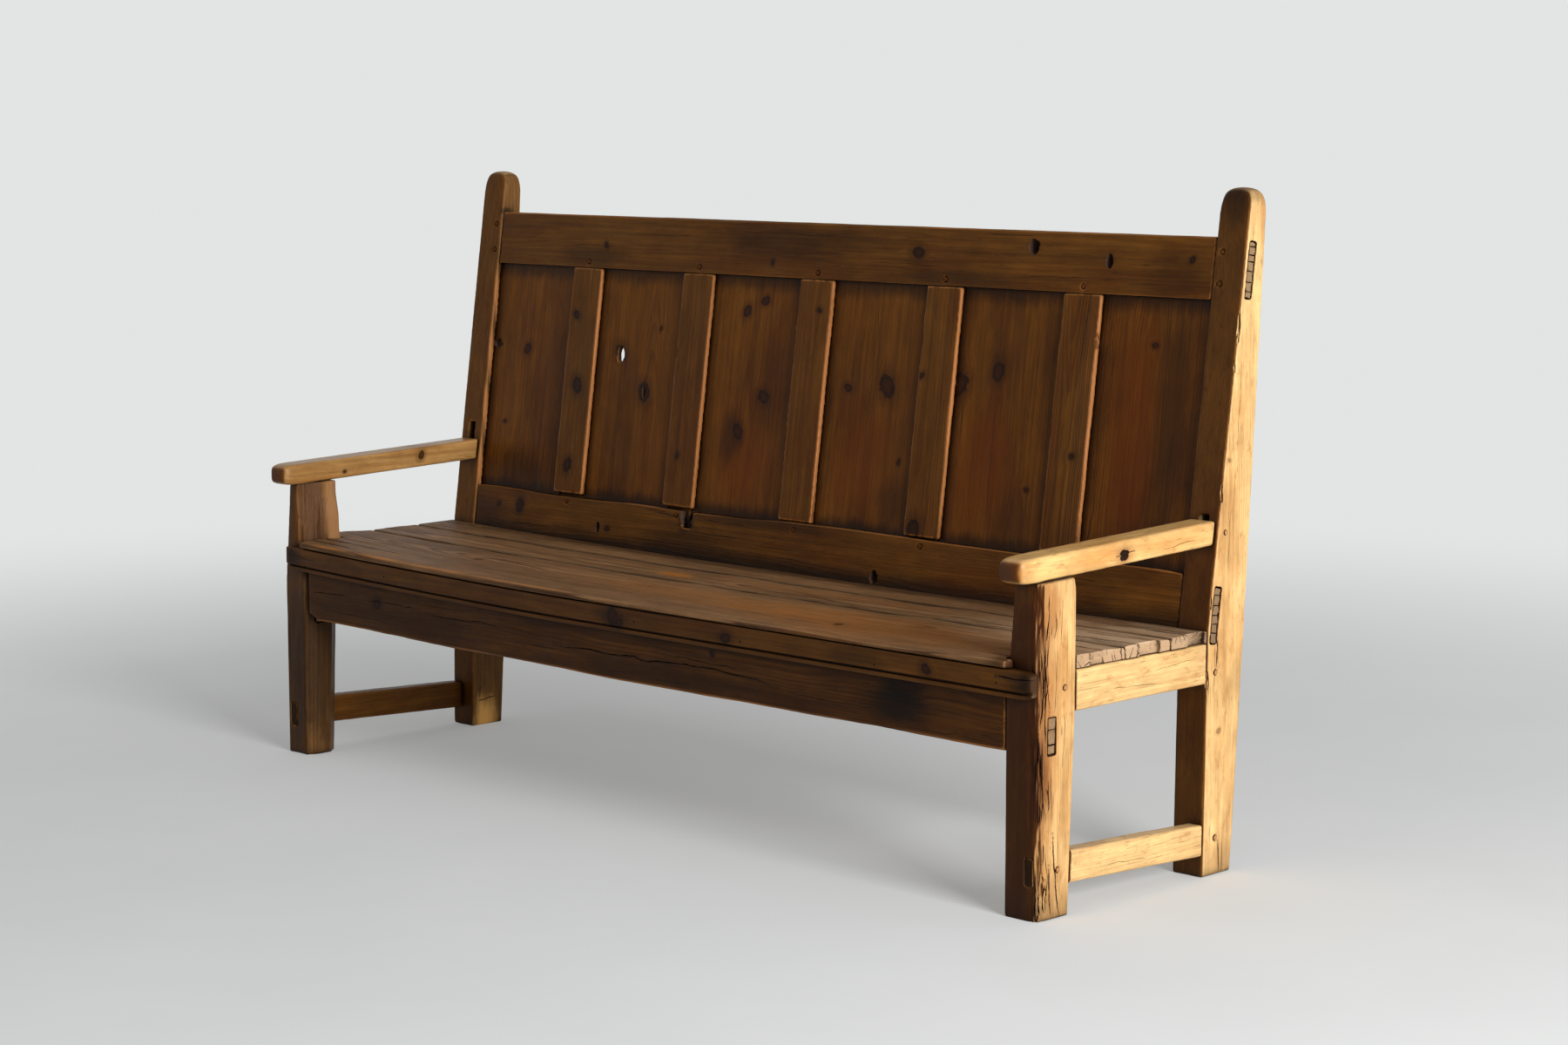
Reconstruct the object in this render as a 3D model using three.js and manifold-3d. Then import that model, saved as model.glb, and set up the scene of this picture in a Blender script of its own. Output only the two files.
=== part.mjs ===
// Long pine settle with a raked, panelled back, two arms and a plank seat.
// Units are millimetres. X runs along the seat to the viewer's right, Y to the back, Z up.
// While the pieces are made, Y is measured from the front faces of the front posts;
// the finished bench is then centred over the origin.

import * as THREE from 'three';
import { ConvexGeometry } from 'three/addons/geometries/ConvexGeometry.js';
import { mergeVertices } from 'three/addons/utils/BufferGeometryUtils.js';
import Module from 'manifold-3d';

const wasm = await Module();
wasm.setup();

// Overall sizes
const benchLength = 1960;
const postHeight = 1150;
const seatHeight = 420;
const legSpacing = 336;

// Fits
const gap = 0.3;
const arris = 3;
const overrun = 5;

// Front posts
const frontPostWidth = 72;
const frontPostDepth = 89;
const frontFootDepth = 76;
const frontPostTaper = 20;
const frontPostTaperBelowSeat = 90;
const frontTenonWidth = 22;
const frontTenonDepth = 36;
const frontTenonHeight = 24;
const outerWane = 10;
const stubWaneAcross = 30;
const stubWaneBack = 46;
const legWaneAcross = 14;
const legWaneBack = 24;
const rearWaneAcross = 24;
const rearWaneBack = 28;
const footWaneAcross = 34;
const footWaneBack = 40;

// Rear posts
const rearPostWidth = 65;
const rearFootDepth = 79;
const rearSeatDepth = 102;
const rearTopDepth = 44;
const rearLegLean = 5;
const backLean = 101;
const postTopRound = 28;
const postTopFrontRound = 14;
const postTopBackRound = 24;

// Frame of the back, with heights measured along the slope of the posts' front faces
const railSetBack = 3;
const railThickness = 30;
const topRailWidth = 106;
const topRailBelowPostTop = 83;
const topRailTenonWidth = 96;
const lowerRailTop = 93;
const lowerRailWidth = 150;
const lowerRailTenonBottom = -23;
const lowerRailTenonWidth = 96;
const railTenonThickness = 18;
const brokenNotchWidth = 27;
const brokenNotchDepth = 38;
const brokenNotchMuntin = 'muntin_2';
const brokenNotchFromMuntin = 35;

// Muntins and panels of the back
const muntinCount = 5;
const muntinWidth = 86;
const muntinShoulder = 12;
const muntinTenonLength = 40;
const panelThickness = 12;
const panelRecess = 10;
const panelTongue = 9;
const knotholeWidth = 16;
const knotholeHeight = 30;
const knotholePanel = 'back_panel_2';
const knotholeFromPanelMiddle = -50;
const knotholeBelowTopRail = 169;

// Arms
const armWidth = 55;
const armThickness = 41;
const armOuterInset = 5;
const armOverhang = 42;
const armAboveSeat = 123;
const armRise = 16;
const armEndRound = 9;
const armArris = 4;
const armTenonWidth = 18;
const armTenonHeight = 25;
const armTenonLength = 36;
const openMortiseLeft = 34;
const openMortiseRight = 8;

// Rails and stretchers at the two ends
const endRailThickness = 32;
const endRailWidth = 69;
const endTenonThickness = 18;
const endTenonOuterShoulder = 11;
const endTenonLength = 42;
const endRailTenonWidth = 55;
const stretcherWidth = 54;
const stretcherBottom = 52;
const stretcherFall = 15;
const stretcherTenonWidth = 46;

// Apron and fascia
const apronSetBack = 1;
const apronThickness = 40;
const apronWidth = 138;
const apronTenonThickness = 20;
const apronTenonWidth = 62;
const fasciaThickness = 20;
const fasciaWidth = 46;
const fasciaLeftInset = 30;
const fasciaRightInset = 2;
const fasciaTopRound = 4;
const beadHeight = 9;
const beadRound = 3;
const beadSetBack = 2;
const beadGrooveWidth = 3;
const beadGrooveDepth = 6;

// Seat
const frontLipThickness = 16;
const boardThickness = 22;
const nosingOverhang = 2;
const nosingTopRound = 7;
const nosingBottomRound = 4;
const nosingPastRightPost = 17;
const frontSeamDepth = 215;
const rearSeamDepth = 333;
const boardEndSlack = 3;
const bearerWidth = 40;
const bearerHeight = 46;
const bearerFromMiddle = 330;
const bearerTongueLength = 15;
const bearerTongueHeight = 20;
const bearerTongueDrop = 8;

// Pegs
const pegDiameter = 9;
const pegSides = 12;
const pegProud = 0.6;
const crossPegLength = 42;
const railPegLength = 42;
const topMuntinPegUp = 12;
const lowerMuntinPegDown = 16;
const postPegFromEdge = 15;
const postPegLowUp = 27;
const postPegHighUp = 80;
const armPegBack = 22;
const endRailFrontPegBack = 27;
const endRailFrontPegUp = 8;
const endRailRearPegBack = 28;
const endRailRearPegDown = 17;
const stretcherFrontPegBack = 41;
const stretcherRearPegBack = 34;

// Finishes
const frameColour = 0xa9773f;
const panelColour = 0x96652f;
const seatColour = 0x9a8064;
const pegColour = 0x6e4a26;

// Places that follow from the sizes
const halfLength = benchLength / 2;
const frontPostTaperStart = seatHeight - frontPostTaperBelowSeat;
const armUndersideHeight = seatHeight + armAboveSeat;
const frontInnerX = halfLength - frontPostWidth;
const rearInnerX = halfLength - rearPostWidth;
const rearFootFront = frontPostDepth + legSpacing;
const rearSeatFront = rearFootFront + rearLegLean;
const postRiseAboveSeat = postHeight - seatHeight;
const rearTopFront = rearSeatFront + backLean;
const rearTopBack = rearTopFront + rearTopDepth;
const rakeAngle = Math.atan2(backLean, postRiseAboveSeat);
const boardUnderside = seatHeight - boardThickness;
const frontLipUnderside = seatHeight - frontLipThickness;
const fasciaTop = frontLipUnderside - gap;
const fasciaBottom = fasciaTop - fasciaWidth;
const apronTop = frontLipUnderside - gap;
const apronBottom = apronTop - apronWidth;
const topRailTop = Math.hypot(backLean, postRiseAboveSeat) - topRailBelowPostTop;
const topRailBottom = topRailTop - topRailWidth;
const lowerRailBottom = lowerRailTop - lowerRailWidth;
const railBack = railSetBack + railThickness;
const tenonFront = railSetBack + (railThickness - railTenonThickness) / 2;
const tenonBack = tenonFront + railTenonThickness;
const panelFront = railSetBack + panelRecess;
const panelBack = panelFront + panelThickness;
const panelGap = (2 * rearInnerX - muntinCount * muntinWidth) / (muntinCount + 1);
const muntinPitch = muntinWidth + panelGap;
const endTenonOuter = halfLength - endTenonOuterShoulder;
const endTenonInner = endTenonOuter - endTenonThickness;
const endRailInner = halfLength - endRailThickness;
const endRailTop = boardUnderside - gap;
const endRailBottom = endRailTop - endRailWidth;
const armOuterX = halfLength - armOuterInset;
const armInnerX = armOuterX - armWidth;
const armMiddleX = (armOuterX + armInnerX) / 2;
const backMatrix = new THREE.Matrix4()
  .makeTranslation(0, rearSeatFront, seatHeight)
  .multiply(new THREE.Matrix4().makeRotationX(-rakeAngle));

const sides = [
  {
    name: 'left', sign: -1, openMortise: openMortiseLeft, nosingPastPost: -boardEndSlack,
  },
  {
    name: 'right', sign: 1, openMortise: openMortiseRight, nosingPastPost: nosingPastRightPost,
  },
];

// Solids and cuts

function toSolid(geometry) {
  const bare = geometry.clone();
  bare.deleteAttribute('normal');
  bare.deleteAttribute('uv');
  const merged = mergeVertices(bare);
  const mesh = new wasm.Mesh({
    numProp: 3,
    vertProperties: new Float32Array(merged.attributes.position.array),
    triVerts: new Uint32Array(merged.index.array),
  });
  return new wasm.Manifold(mesh);
}

function toGeometry(solid) {
  const mesh = solid.getMesh();
  const geometry = new THREE.BufferGeometry();
  const points = new Float32Array(mesh.vertProperties);
  geometry.setAttribute('position', new THREE.BufferAttribute(points, 3));
  geometry.setIndex(new THREE.BufferAttribute(new Uint32Array(mesh.triVerts), 1));
  const faceted = geometry.toNonIndexed();
  faceted.computeVertexNormals();
  return faceted;
}

function combine(geometry, operation, others) {
  let solid = toSolid(geometry);
  for (const other of others) {
    solid = solid[operation](toSolid(other));
  }
  return toGeometry(solid);
}

const join = (geometry, ...others) => combine(geometry, 'add', others);
const cut = (geometry, ...others) => combine(geometry, 'subtract', others);
const common = (geometry, ...others) => combine(geometry, 'intersect', others);

// Blocks and extrusions

function block(x, y, z, ease = 0) {
  const size = [x, y, z].map(([low, high]) => high - low + 2 * ease);
  const middle = [x, y, z].map(([low, high]) => (low + high) / 2);
  return new THREE.BoxGeometry(...size).translate(...middle);
}

function mirrored(sign, inner, outer) {
  return sign > 0 ? [inner, outer] : [-outer, -inner];
}

function roundedShape(corners) {
  const shape = new THREE.Shape();
  corners.forEach(({ at, round = 0 }, index) => {
    const here = new THREE.Vector2(...at);
    const before = new THREE.Vector2(...corners.at(index - 1).at);
    const after = new THREE.Vector2(...corners[(index + 1) % corners.length].at);
    const start = here.clone().add(before.sub(here).setLength(round));
    const end = here.clone().add(after.sub(here).setLength(round));
    if (index === 0) {
      shape.moveTo(start.x, start.y);
    } else {
      shape.lineTo(start.x, start.y);
    }
    if (round > 0) {
      shape.quadraticCurveTo(here.x, here.y, end.x, end.y);
    }
  });
  return shape;
}

function extrude(corners, length, chamfer) {
  return new THREE.ExtrudeGeometry(roundedShape(corners), {
    depth: length - 2 * chamfer,
    bevelEnabled: chamfer > 0,
    bevelThickness: chamfer,
    bevelSize: chamfer,
    bevelOffset: -chamfer,
    bevelSegments: 1,
    curveSegments: 5,
  }).translate(0, 0, chamfer);
}

function extrudeAlongX(corners, [low, high], chamfer = 0) {
  const turn = new THREE.Matrix4().makeBasis(
    new THREE.Vector3(0, 1, 0),
    new THREE.Vector3(0, 0, 1),
    new THREE.Vector3(1, 0, 0),
  );
  return extrude(corners, high - low, chamfer).applyMatrix4(turn).translate(low, 0, 0);
}

function extrudeAlongY(corners, [low, high]) {
  const turn = new THREE.Matrix4().makeBasis(
    new THREE.Vector3(1, 0, 0),
    new THREE.Vector3(0, 0, 1),
    new THREE.Vector3(0, -1, 0),
  );
  return extrude(corners, high - low, 0).applyMatrix4(turn).translate(0, high, 0);
}

function extrudeAlongZ(corners, [low, high]) {
  return extrude(corners, high - low, 0).translate(0, 0, low);
}

function corner(x, y, round) {
  return { at: [x, y], round };
}

// A piece drawn in the plane of the back: x, depth behind the post faces, height up the slope
function inBack(geometry) {
  return geometry.applyMatrix4(backMatrix);
}

// Pegs

function pegAcross(sign, y, z, ease = 0) {
  const outer = halfLength + pegProud + (ease > 0 ? overrun : 0);
  const inner = halfLength + pegProud - crossPegLength - ease;
  const radius = pegDiameter / 2 + ease;
  const middle = sign * (outer + inner) / 2;
  return new THREE.CylinderGeometry(radius, radius, outer - inner, pegSides)
    .rotateZ(Math.PI / 2)
    .translate(middle, y, z);
}

function pegThroughBack(x, up, faceDepth, length, ease = 0) {
  const front = faceDepth - pegProud - (ease > 0 ? overrun : 0);
  const back = faceDepth - pegProud + length + ease;
  const radius = pegDiameter / 2 + ease;
  const peg = new THREE.CylinderGeometry(radius, radius, back - front, pegSides);
  return inBack(peg.translate(x, (front + back) / 2, up));
}

function muntinX(index) {
  return (index - (muntinCount - 1) / 2) * muntinPitch;
}

function panelX(index) {
  return (index - muntinCount / 2) * muntinPitch;
}

const muntinNames = Array.from({ length: muntinCount }, (_, index) => `muntin_${index + 1}`);
const panelNames = Array.from({ length: muntinCount + 1 }, (_, index) => `back_panel_${index + 1}`);
const muntinNumbers = [...muntinNames.keys()];
const panelNumbers = [...panelNames.keys()];

function topMuntinPeg(index, ease) {
  const up = topRailBottom + topMuntinPegUp;
  return pegThroughBack(muntinX(index), up, railSetBack, railThickness + pegProud, ease);
}

function lowerMuntinPeg(index, ease) {
  const up = lowerRailTop - lowerMuntinPegDown;
  return pegThroughBack(muntinX(index), up, railSetBack, railThickness + pegProud, ease);
}

function topRailPeg(sign, upInRail, ease) {
  const x = sign * (rearInnerX + postPegFromEdge);
  return pegThroughBack(x, topRailBottom + upInRail, 0, railPegLength, ease);
}

function armPeg(sign, ease) {
  const y = backFaceAt(armAxisHeight()) + armPegBack;
  return pegAcross(sign, y, armAxisHeight(), ease);
}

const endRailMiddle = (endRailTop + endRailBottom) / 2;

function endRailFrontPeg(sign, ease) {
  const y = frontPostDepth - endRailFrontPegBack;
  return pegAcross(sign, y, endRailMiddle + endRailFrontPegUp, ease);
}

function endRailRearPeg(sign, ease) {
  const y = rearFootFront + endRailRearPegBack;
  return pegAcross(sign, y, endRailMiddle - endRailRearPegDown, ease);
}

function stretcherMiddle(y) {
  const share = (y - frontPostDepth) / legSpacing;
  return stretcherBottom + stretcherWidth / 2 - share * stretcherFall;
}

function stretcherFrontPeg(sign, ease) {
  const y = frontPostDepth - stretcherFrontPegBack;
  return pegAcross(sign, y, stretcherMiddle(frontPostDepth), ease);
}

function stretcherRearPeg(sign, ease) {
  const y = rearFootFront + stretcherRearPegBack;
  return pegAcross(sign, y, stretcherMiddle(rearFootFront), ease);
}

// Arms

function backFaceAt(z) {
  return rearSeatFront + (z - seatHeight) * backLean / postRiseAboveSeat;
}

const armRun = backFaceAt(armUndersideHeight);

function armUndersideAt(y) {
  return armUndersideHeight + y * armRise / armRun;
}

function armAxisHeight() {
  return armUndersideAt(armRun) + armThickness / 2;
}

function armTenon(sign, ease) {
  const x = mirrored(sign, armMiddleX - armTenonWidth / 2, armMiddleX + armTenonWidth / 2);
  const face = backFaceAt(armAxisHeight());
  const low = armAxisHeight() - armTenonHeight / 2;
  const high = armAxisHeight() + armTenonHeight / 2;
  return block(x, [face - overrun, face + armTenonLength], [low, high], ease);
}

function openArmMortise(sign, openMortise) {
  const x = mirrored(sign, armMiddleX - armTenonWidth / 2, armMiddleX + armTenonWidth / 2);
  const low = armAxisHeight();
  const high = armAxisHeight() + armThickness / 2 + openMortise;
  const face = backFaceAt(low);
  return block(x, [face - overrun, face + armTenonLength], [low, high], gap);
}

function frontPostTenon(sign, ease) {
  const x = mirrored(sign, armMiddleX - frontTenonWidth / 2, armMiddleX + frontTenonWidth / 2);
  const middle = frontPostDepth / 2;
  const y = [middle - frontTenonDepth / 2, middle + frontTenonDepth / 2];
  const z = [armUndersideHeight - overrun, armUndersideAt(middle) + frontTenonHeight];
  return block(x, y, z, ease);
}

function makeArm({ sign }) {
  const front = -armOverhang;
  const rearUnder = backFaceAt(armUndersideAt(armRun)) - gap;
  const rearTop = backFaceAt(armUndersideAt(armRun) + armThickness) - gap;
  const side = extrudeAlongX([
    corner(front, armUndersideAt(front), armEndRound),
    corner(rearUnder, armUndersideAt(rearUnder)),
    corner(rearTop, armUndersideAt(rearTop) + armThickness),
    corner(front, armUndersideAt(front) + armThickness, armEndRound),
  ], mirrored(sign, armInnerX, armOuterX), armArris);
  const bar = join(side, armTenon(sign, 0));
  return cut(bar, frontPostTenon(sign, gap), armPeg(sign, gap));
}

// Rails and stretchers at the two ends

function endTenonX(sign) {
  return mirrored(sign, endTenonInner, endTenonOuter);
}

function endRailTenons(sign, ease) {
  const z = [endRailMiddle - endRailTenonWidth / 2, endRailMiddle + endRailTenonWidth / 2];
  const y = [frontPostDepth - endTenonLength, rearFootFront + rearLegLean + endTenonLength];
  return block(endTenonX(sign), y, z, ease);
}

function endBar(sign, bottomFront, bottomRear, width) {
  const frontBottom = frontPostBackAt(bottomFront) + gap;
  const frontTop = frontPostBackAt(bottomFront + width) + gap;
  const rearBottom = legFaceAt(bottomRear) - gap;
  const rearTop = legFaceAt(bottomRear + width) - gap;
  return extrudeAlongX([
    corner(frontBottom, bottomFront),
    corner(rearBottom, bottomRear),
    corner(rearTop, bottomRear + width),
    corner(frontTop, bottomFront + width),
  ], mirrored(sign, endRailInner, halfLength), arris);
}

function frontPostBackAt(z) {
  const share = Math.min(z / frontPostTaperStart, 1);
  return frontFootDepth + share * (frontPostDepth - frontFootDepth);
}

function legFaceAt(z) {
  return rearFootFront + rearLegLean * z / seatHeight;
}

function makeEndRail({ sign }) {
  const bar = endBar(sign, endRailBottom, endRailBottom, endRailWidth);
  const rail = join(bar, endRailTenons(sign, 0));
  return cut(rail, endRailFrontPeg(sign, gap), endRailRearPeg(sign, gap));
}

function stretcherTenons(sign, ease) {
  const frontLow = stretcherMiddle(frontPostDepth) - stretcherTenonWidth / 2 - ease;
  const rearLow = stretcherMiddle(rearFootFront) - stretcherTenonWidth / 2 - ease;
  const through = ease > 0 ? -overrun : 0;
  const back = rearFootFront + endTenonLength + ease;
  const high = stretcherTenonWidth + 2 * ease;
  const [low, outer] = endTenonX(sign);
  return extrudeAlongX([
    corner(through, frontLow),
    corner(frontPostDepth, frontLow),
    corner(rearFootFront, rearLow),
    corner(back, rearLow),
    corner(back, rearLow + high),
    corner(rearFootFront, rearLow + high),
    corner(frontPostDepth, frontLow + high),
    corner(through, frontLow + high),
  ], [low - ease, outer + ease]);
}

function makeStretcher({ sign }) {
  const bar = endBar(sign, stretcherBottom, stretcherBottom - stretcherFall, stretcherWidth);
  const stretcher = join(bar, stretcherTenons(sign, 0));
  return cut(stretcher, stretcherFrontPeg(sign, gap), stretcherRearPeg(sign, gap));
}

// Back frame

function topRailTenon(ease) {
  const shoulder = (topRailWidth - topRailTenonWidth) / 2;
  const up = [topRailBottom + shoulder, topRailTop - shoulder];
  return inBack(block([-halfLength, halfLength], [tenonFront, tenonBack], up, ease));
}

function lowerRailTenon(ease) {
  const up = [lowerRailTenonBottom, lowerRailTenonBottom + lowerRailTenonWidth];
  return inBack(block([-halfLength, halfLength], [tenonFront, tenonBack], up, ease));
}

function panelBlock(index, ease) {
  const reach = panelGap / 2 + panelTongue;
  const x = [panelX(index) - reach, panelX(index) + reach];
  const up = [lowerRailTop - panelTongue, topRailBottom + panelTongue];
  return inBack(block(x, [panelFront, panelBack], up, ease));
}

function muntinTenons(index, ease) {
  const middle = muntinX(index);
  const reach = muntinWidth / 2 - muntinShoulder;
  const up = [lowerRailTop - muntinTenonLength, topRailBottom + muntinTenonLength];
  return inBack(block([middle - reach, middle + reach], [panelFront, panelBack], up, ease));
}

function railBar(bottom, top) {
  const reach = rearInnerX - gap;
  const bar = extrudeAlongX([
    corner(railSetBack, bottom),
    corner(railBack, bottom),
    corner(railBack, top),
    corner(railSetBack, top, arris),
  ], [-reach, reach]);
  return inBack(bar);
}

function makeTopRail() {
  const rail = join(railBar(topRailBottom, topRailTop), topRailTenon(0));
  return cut(
    rail,
    ...panelNumbers.map((index) => panelBlock(index, gap)),
    ...muntinNumbers.map((index) => muntinTenons(index, gap)),
    ...muntinNumbers.map((index) => topMuntinPeg(index, gap)),
    ...topRailPegs(gap),
  );
}

function topRailPegs(ease) {
  return sides.flatMap(({ sign }) => [
    topRailPeg(sign, postPegLowUp, ease),
    topRailPeg(sign, postPegHighUp, ease),
  ]);
}

function brokenNotch() {
  const middle = muntinX(muntinNames.indexOf(brokenNotchMuntin)) + brokenNotchFromMuntin;
  const x = [middle - brokenNotchWidth / 2, middle + brokenNotchWidth / 2];
  const depth = [railSetBack - overrun, panelFront];
  return inBack(block(x, depth, [lowerRailTop - brokenNotchDepth, lowerRailTop + overrun]));
}

function makeLowerRail() {
  const rail = join(railBar(lowerRailBottom, lowerRailTop), lowerRailTenon(0));
  return cut(
    rail,
    ...panelNumbers.map((index) => panelBlock(index, gap)),
    ...muntinNumbers.map((index) => muntinTenons(index, gap)),
    ...muntinNumbers.map((index) => lowerMuntinPeg(index, gap)),
    ...sides.map(({ sign }) => bearerTongues(sign, gap)),
    brokenNotch(),
  );
}

function makeMuntin(index) {
  const middle = muntinX(index);
  const x = [middle - muntinWidth / 2, middle + muntinWidth / 2];
  const up = [lowerRailTop + gap, topRailBottom - gap];
  const bar = inBack(block(x, [railSetBack, railBack], up));
  const muntin = join(bar, muntinTenons(index, 0));
  return cut(
    muntin,
    panelBlock(index, gap),
    panelBlock(index + 1, gap),
    topMuntinPeg(index, gap),
    lowerMuntinPeg(index, gap),
  );
}

function knothole() {
  const ellipse = new THREE.CylinderGeometry(
    knotholeWidth / 2,
    knotholeWidth / 2,
    panelThickness + 2 * overrun,
    pegSides,
  );
  ellipse.scale(1, 1, knotholeHeight / knotholeWidth);
  const x = panelX(panelNames.indexOf(knotholePanel)) + knotholeFromPanelMiddle;
  const up = topRailBottom - knotholeBelowTopRail;
  return inBack(ellipse.translate(x, (panelFront + panelBack) / 2, up));
}

function makePanel(name, index) {
  const panel = panelBlock(index, 0);
  return name === knotholePanel ? cut(panel, knothole()) : panel;
}

// Posts

function makeRearPost({ sign, openMortise }) {
  const profile = extrudeAlongX([
    corner(rearFootFront, 0),
    corner(rearFootFront + rearFootDepth, 0),
    corner(rearSeatFront + rearSeatDepth, seatHeight),
    corner(rearTopBack, postHeight, postTopBackRound),
    corner(rearTopFront, postHeight, postTopFrontRound),
    corner(rearSeatFront, seatHeight),
  ], mirrored(sign, rearInnerX, halfLength), arris);
  const [low, high] = mirrored(sign, rearInnerX, halfLength);
  const face = extrudeAlongY([
    corner(low, 0),
    corner(high, 0),
    corner(high, postHeight, postTopRound),
    corner(low, postHeight, postTopRound),
  ], [rearFootFront - overrun, rearTopBack + overrun]);
  const endPanel = sign < 0 ? 0 : muntinCount;
  return cut(
    common(profile, face),
    topRailTenon(gap),
    lowerRailTenon(gap),
    panelBlock(endPanel, gap),
    armTenon(sign, gap),
    openArmMortise(sign, openMortise),
    endRailTenons(sign, gap),
    stretcherTenons(sign, gap),
    topRailPeg(sign, postPegLowUp, gap),
    topRailPeg(sign, postPegHighUp, gap),
    armPeg(sign, gap),
    endRailRearPeg(sign, gap),
    stretcherRearPeg(sign, gap),
  );
}

function cornerCut(x, y, lowEnd, highEnd) {
  const points = [lowEnd, highEnd].flatMap(({ z, across, back }) => [
    new THREE.Vector3(x, y, z),
    new THREE.Vector3(x + across, y, z),
    new THREE.Vector3(x, y + back, z),
  ]);
  return new ConvexGeometry(points);
}

function straightWane(x, y, across, back, [low, high]) {
  return cornerCut(x, y, { z: low, across, back }, { z: high, across, back });
}

function waneCuts(sign, top) {
  const leg = [-overrun, seatHeight];
  const stub = [seatHeight, top];
  if (sign > 0) {
    return [straightWane(halfLength, 0, -outerWane, outerWane, [-overrun, top])];
  }
  return [
    straightWane(-frontInnerX, 0, -stubWaneAcross, stubWaneBack, stub),
    straightWane(-frontInnerX, 0, -legWaneAcross, legWaneBack, leg),
    cornerCut(
      -frontInnerX,
      frontPostDepth,
      { z: -overrun, across: -footWaneAcross, back: -footWaneBack },
      { z: frontPostTaperStart, across: -rearWaneAcross, back: -rearWaneBack },
    ),
  ];
}

function makeFrontPost({ sign }) {
  const [low, high] = mirrored(sign, frontInnerX, halfLength);
  const shoulder = armUndersideHeight - gap;
  const top = armUndersideAt(frontPostDepth) - gap;
  const profile = extrudeAlongX([
    corner(0, 0),
    corner(frontFootDepth, 0),
    corner(frontPostDepth, frontPostTaperStart),
    corner(frontPostDepth, top),
    corner(0, shoulder),
  ], [low, high], arris);
  const face = extrudeAlongY([
    corner(low, 0),
    corner(high, 0),
    corner(high, top + overrun),
    corner(low + frontPostTaper, top + overrun),
    corner(low, frontPostTaperStart),
  ], [-overrun, frontPostDepth + overrun]);
  const post = join(common(profile, face), frontPostTenon(sign, 0));
  return cut(
    post,
    ...waneCuts(sign, top + overrun),
    apronTenon(gap),
    endRailTenons(sign, gap),
    stretcherTenons(sign, gap),
    endRailFrontPeg(sign, gap),
    stretcherFrontPeg(sign, gap),
  );
}

// Apron, fascia and seat

const apronBack = apronSetBack + apronThickness;

function apronTenon(ease) {
  const y = [apronBack - apronTenonThickness, apronBack];
  const z = [apronBottom, apronBottom + apronTenonWidth];
  return block([-halfLength, halfLength], y, z, ease);
}

function makeApron() {
  const reach = frontInnerX - gap;
  const bar = extrudeAlongX([
    corner(apronSetBack, apronBottom, arris),
    corner(apronBack, apronBottom),
    corner(apronBack, apronTop),
    corner(apronSetBack, apronTop),
  ], [-reach, reach]);
  const apron = join(bar, apronTenon(0));
  return cut(apron, ...sides.map(({ sign }) => bearerTongues(sign, gap)));
}

function makeFascia() {
  const back = -gap;
  const front = back - fasciaThickness;
  const bead = front + beadSetBack;
  const grooveLow = fasciaBottom + beadHeight;
  const grooveHigh = grooveLow + beadGrooveWidth;
  return extrudeAlongX([
    corner(back, fasciaBottom),
    corner(back, fasciaTop),
    corner(front, fasciaTop, fasciaTopRound),
    corner(front, grooveHigh),
    corner(bead + beadGrooveDepth, grooveHigh),
    corner(bead + beadGrooveDepth, grooveLow),
    corner(bead, grooveLow, beadRound),
    corner(bead, fasciaBottom, beadRound),
  ].reverse(), [-halfLength + fasciaLeftInset, halfLength - fasciaRightInset]);
}

function makeFrontBoard() {
  const nosing = -fasciaThickness - gap - nosingOverhang;
  const board = extrudeAlongX([
    corner(nosing, frontLipUnderside, nosingBottomRound),
    corner(apronBack + gap, frontLipUnderside),
    corner(apronBack + gap, boardUnderside),
    corner(frontSeamDepth - gap / 2, boardUnderside),
    corner(frontSeamDepth - gap / 2, seatHeight),
    corner(nosing, seatHeight, nosingTopRound),
  ], [-halfLength, halfLength]);
  const z = [boardUnderside - overrun, seatHeight + overrun];
  const notches = sides.flatMap(({ sign, nosingPastPost }) => {
    const post = mirrored(sign, frontInnerX - boardEndSlack, halfLength + overrun);
    const end = mirrored(sign, frontInnerX + nosingPastPost, halfLength + overrun);
    return [
      block(post, [-gap, frontPostDepth + gap], z),
      block(end, [nosing - overrun, frontPostDepth + gap], z),
    ];
  });
  return cut(board, ...notches);
}

function makeBoard(front, back) {
  return extrudeAlongX([
    corner(front, boardUnderside),
    corner(back, boardUnderside),
    corner(back, seatHeight),
    corner(front, seatHeight),
  ], [-halfLength, halfLength]);
}

function makeMiddleBoard() {
  return makeBoard(frontSeamDepth + gap / 2, rearSeamDepth - gap / 2);
}

function makeRearBoard() {
  return makeBoard(rearSeamDepth + gap / 2, legFaceAt(boardUnderside) - gap);
}

function bearerTop() {
  return boardUnderside - gap;
}

function bearerX(sign) {
  const middle = sign * bearerFromMiddle;
  return [middle - bearerWidth / 2, middle + bearerWidth / 2];
}

function lowerRailFaceAt(z) {
  return backFaceAt(z) + railSetBack / Math.cos(rakeAngle);
}

function bearerTongues(sign, ease) {
  const high = bearerTop() - bearerTongueDrop;
  const low = high - bearerTongueHeight;
  const rear = lowerRailFaceAt(low) + bearerTongueLength;
  return block(bearerX(sign), [apronBack - bearerTongueLength, rear], [low, high], ease);
}

function makeBearer({ sign }) {
  const bottom = bearerTop() - bearerHeight;
  const front = apronBack + gap;
  const rearBottom = lowerRailFaceAt(bottom) - gap;
  const rearTop = lowerRailFaceAt(bearerTop()) - gap;
  const bar = extrudeAlongX([
    corner(front, bottom),
    corner(rearBottom, bottom),
    corner(rearTop, bearerTop()),
    corner(front, bearerTop()),
  ], bearerX(sign));
  return join(bar, bearerTongues(sign, 0));
}

// Assembly

const finishes = {
  frame: frameColour,
  panel: panelColour,
  seat: seatColour,
  peg: pegColour,
};

const bench = new THREE.Group();
bench.name = 'settle_bench';

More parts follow.
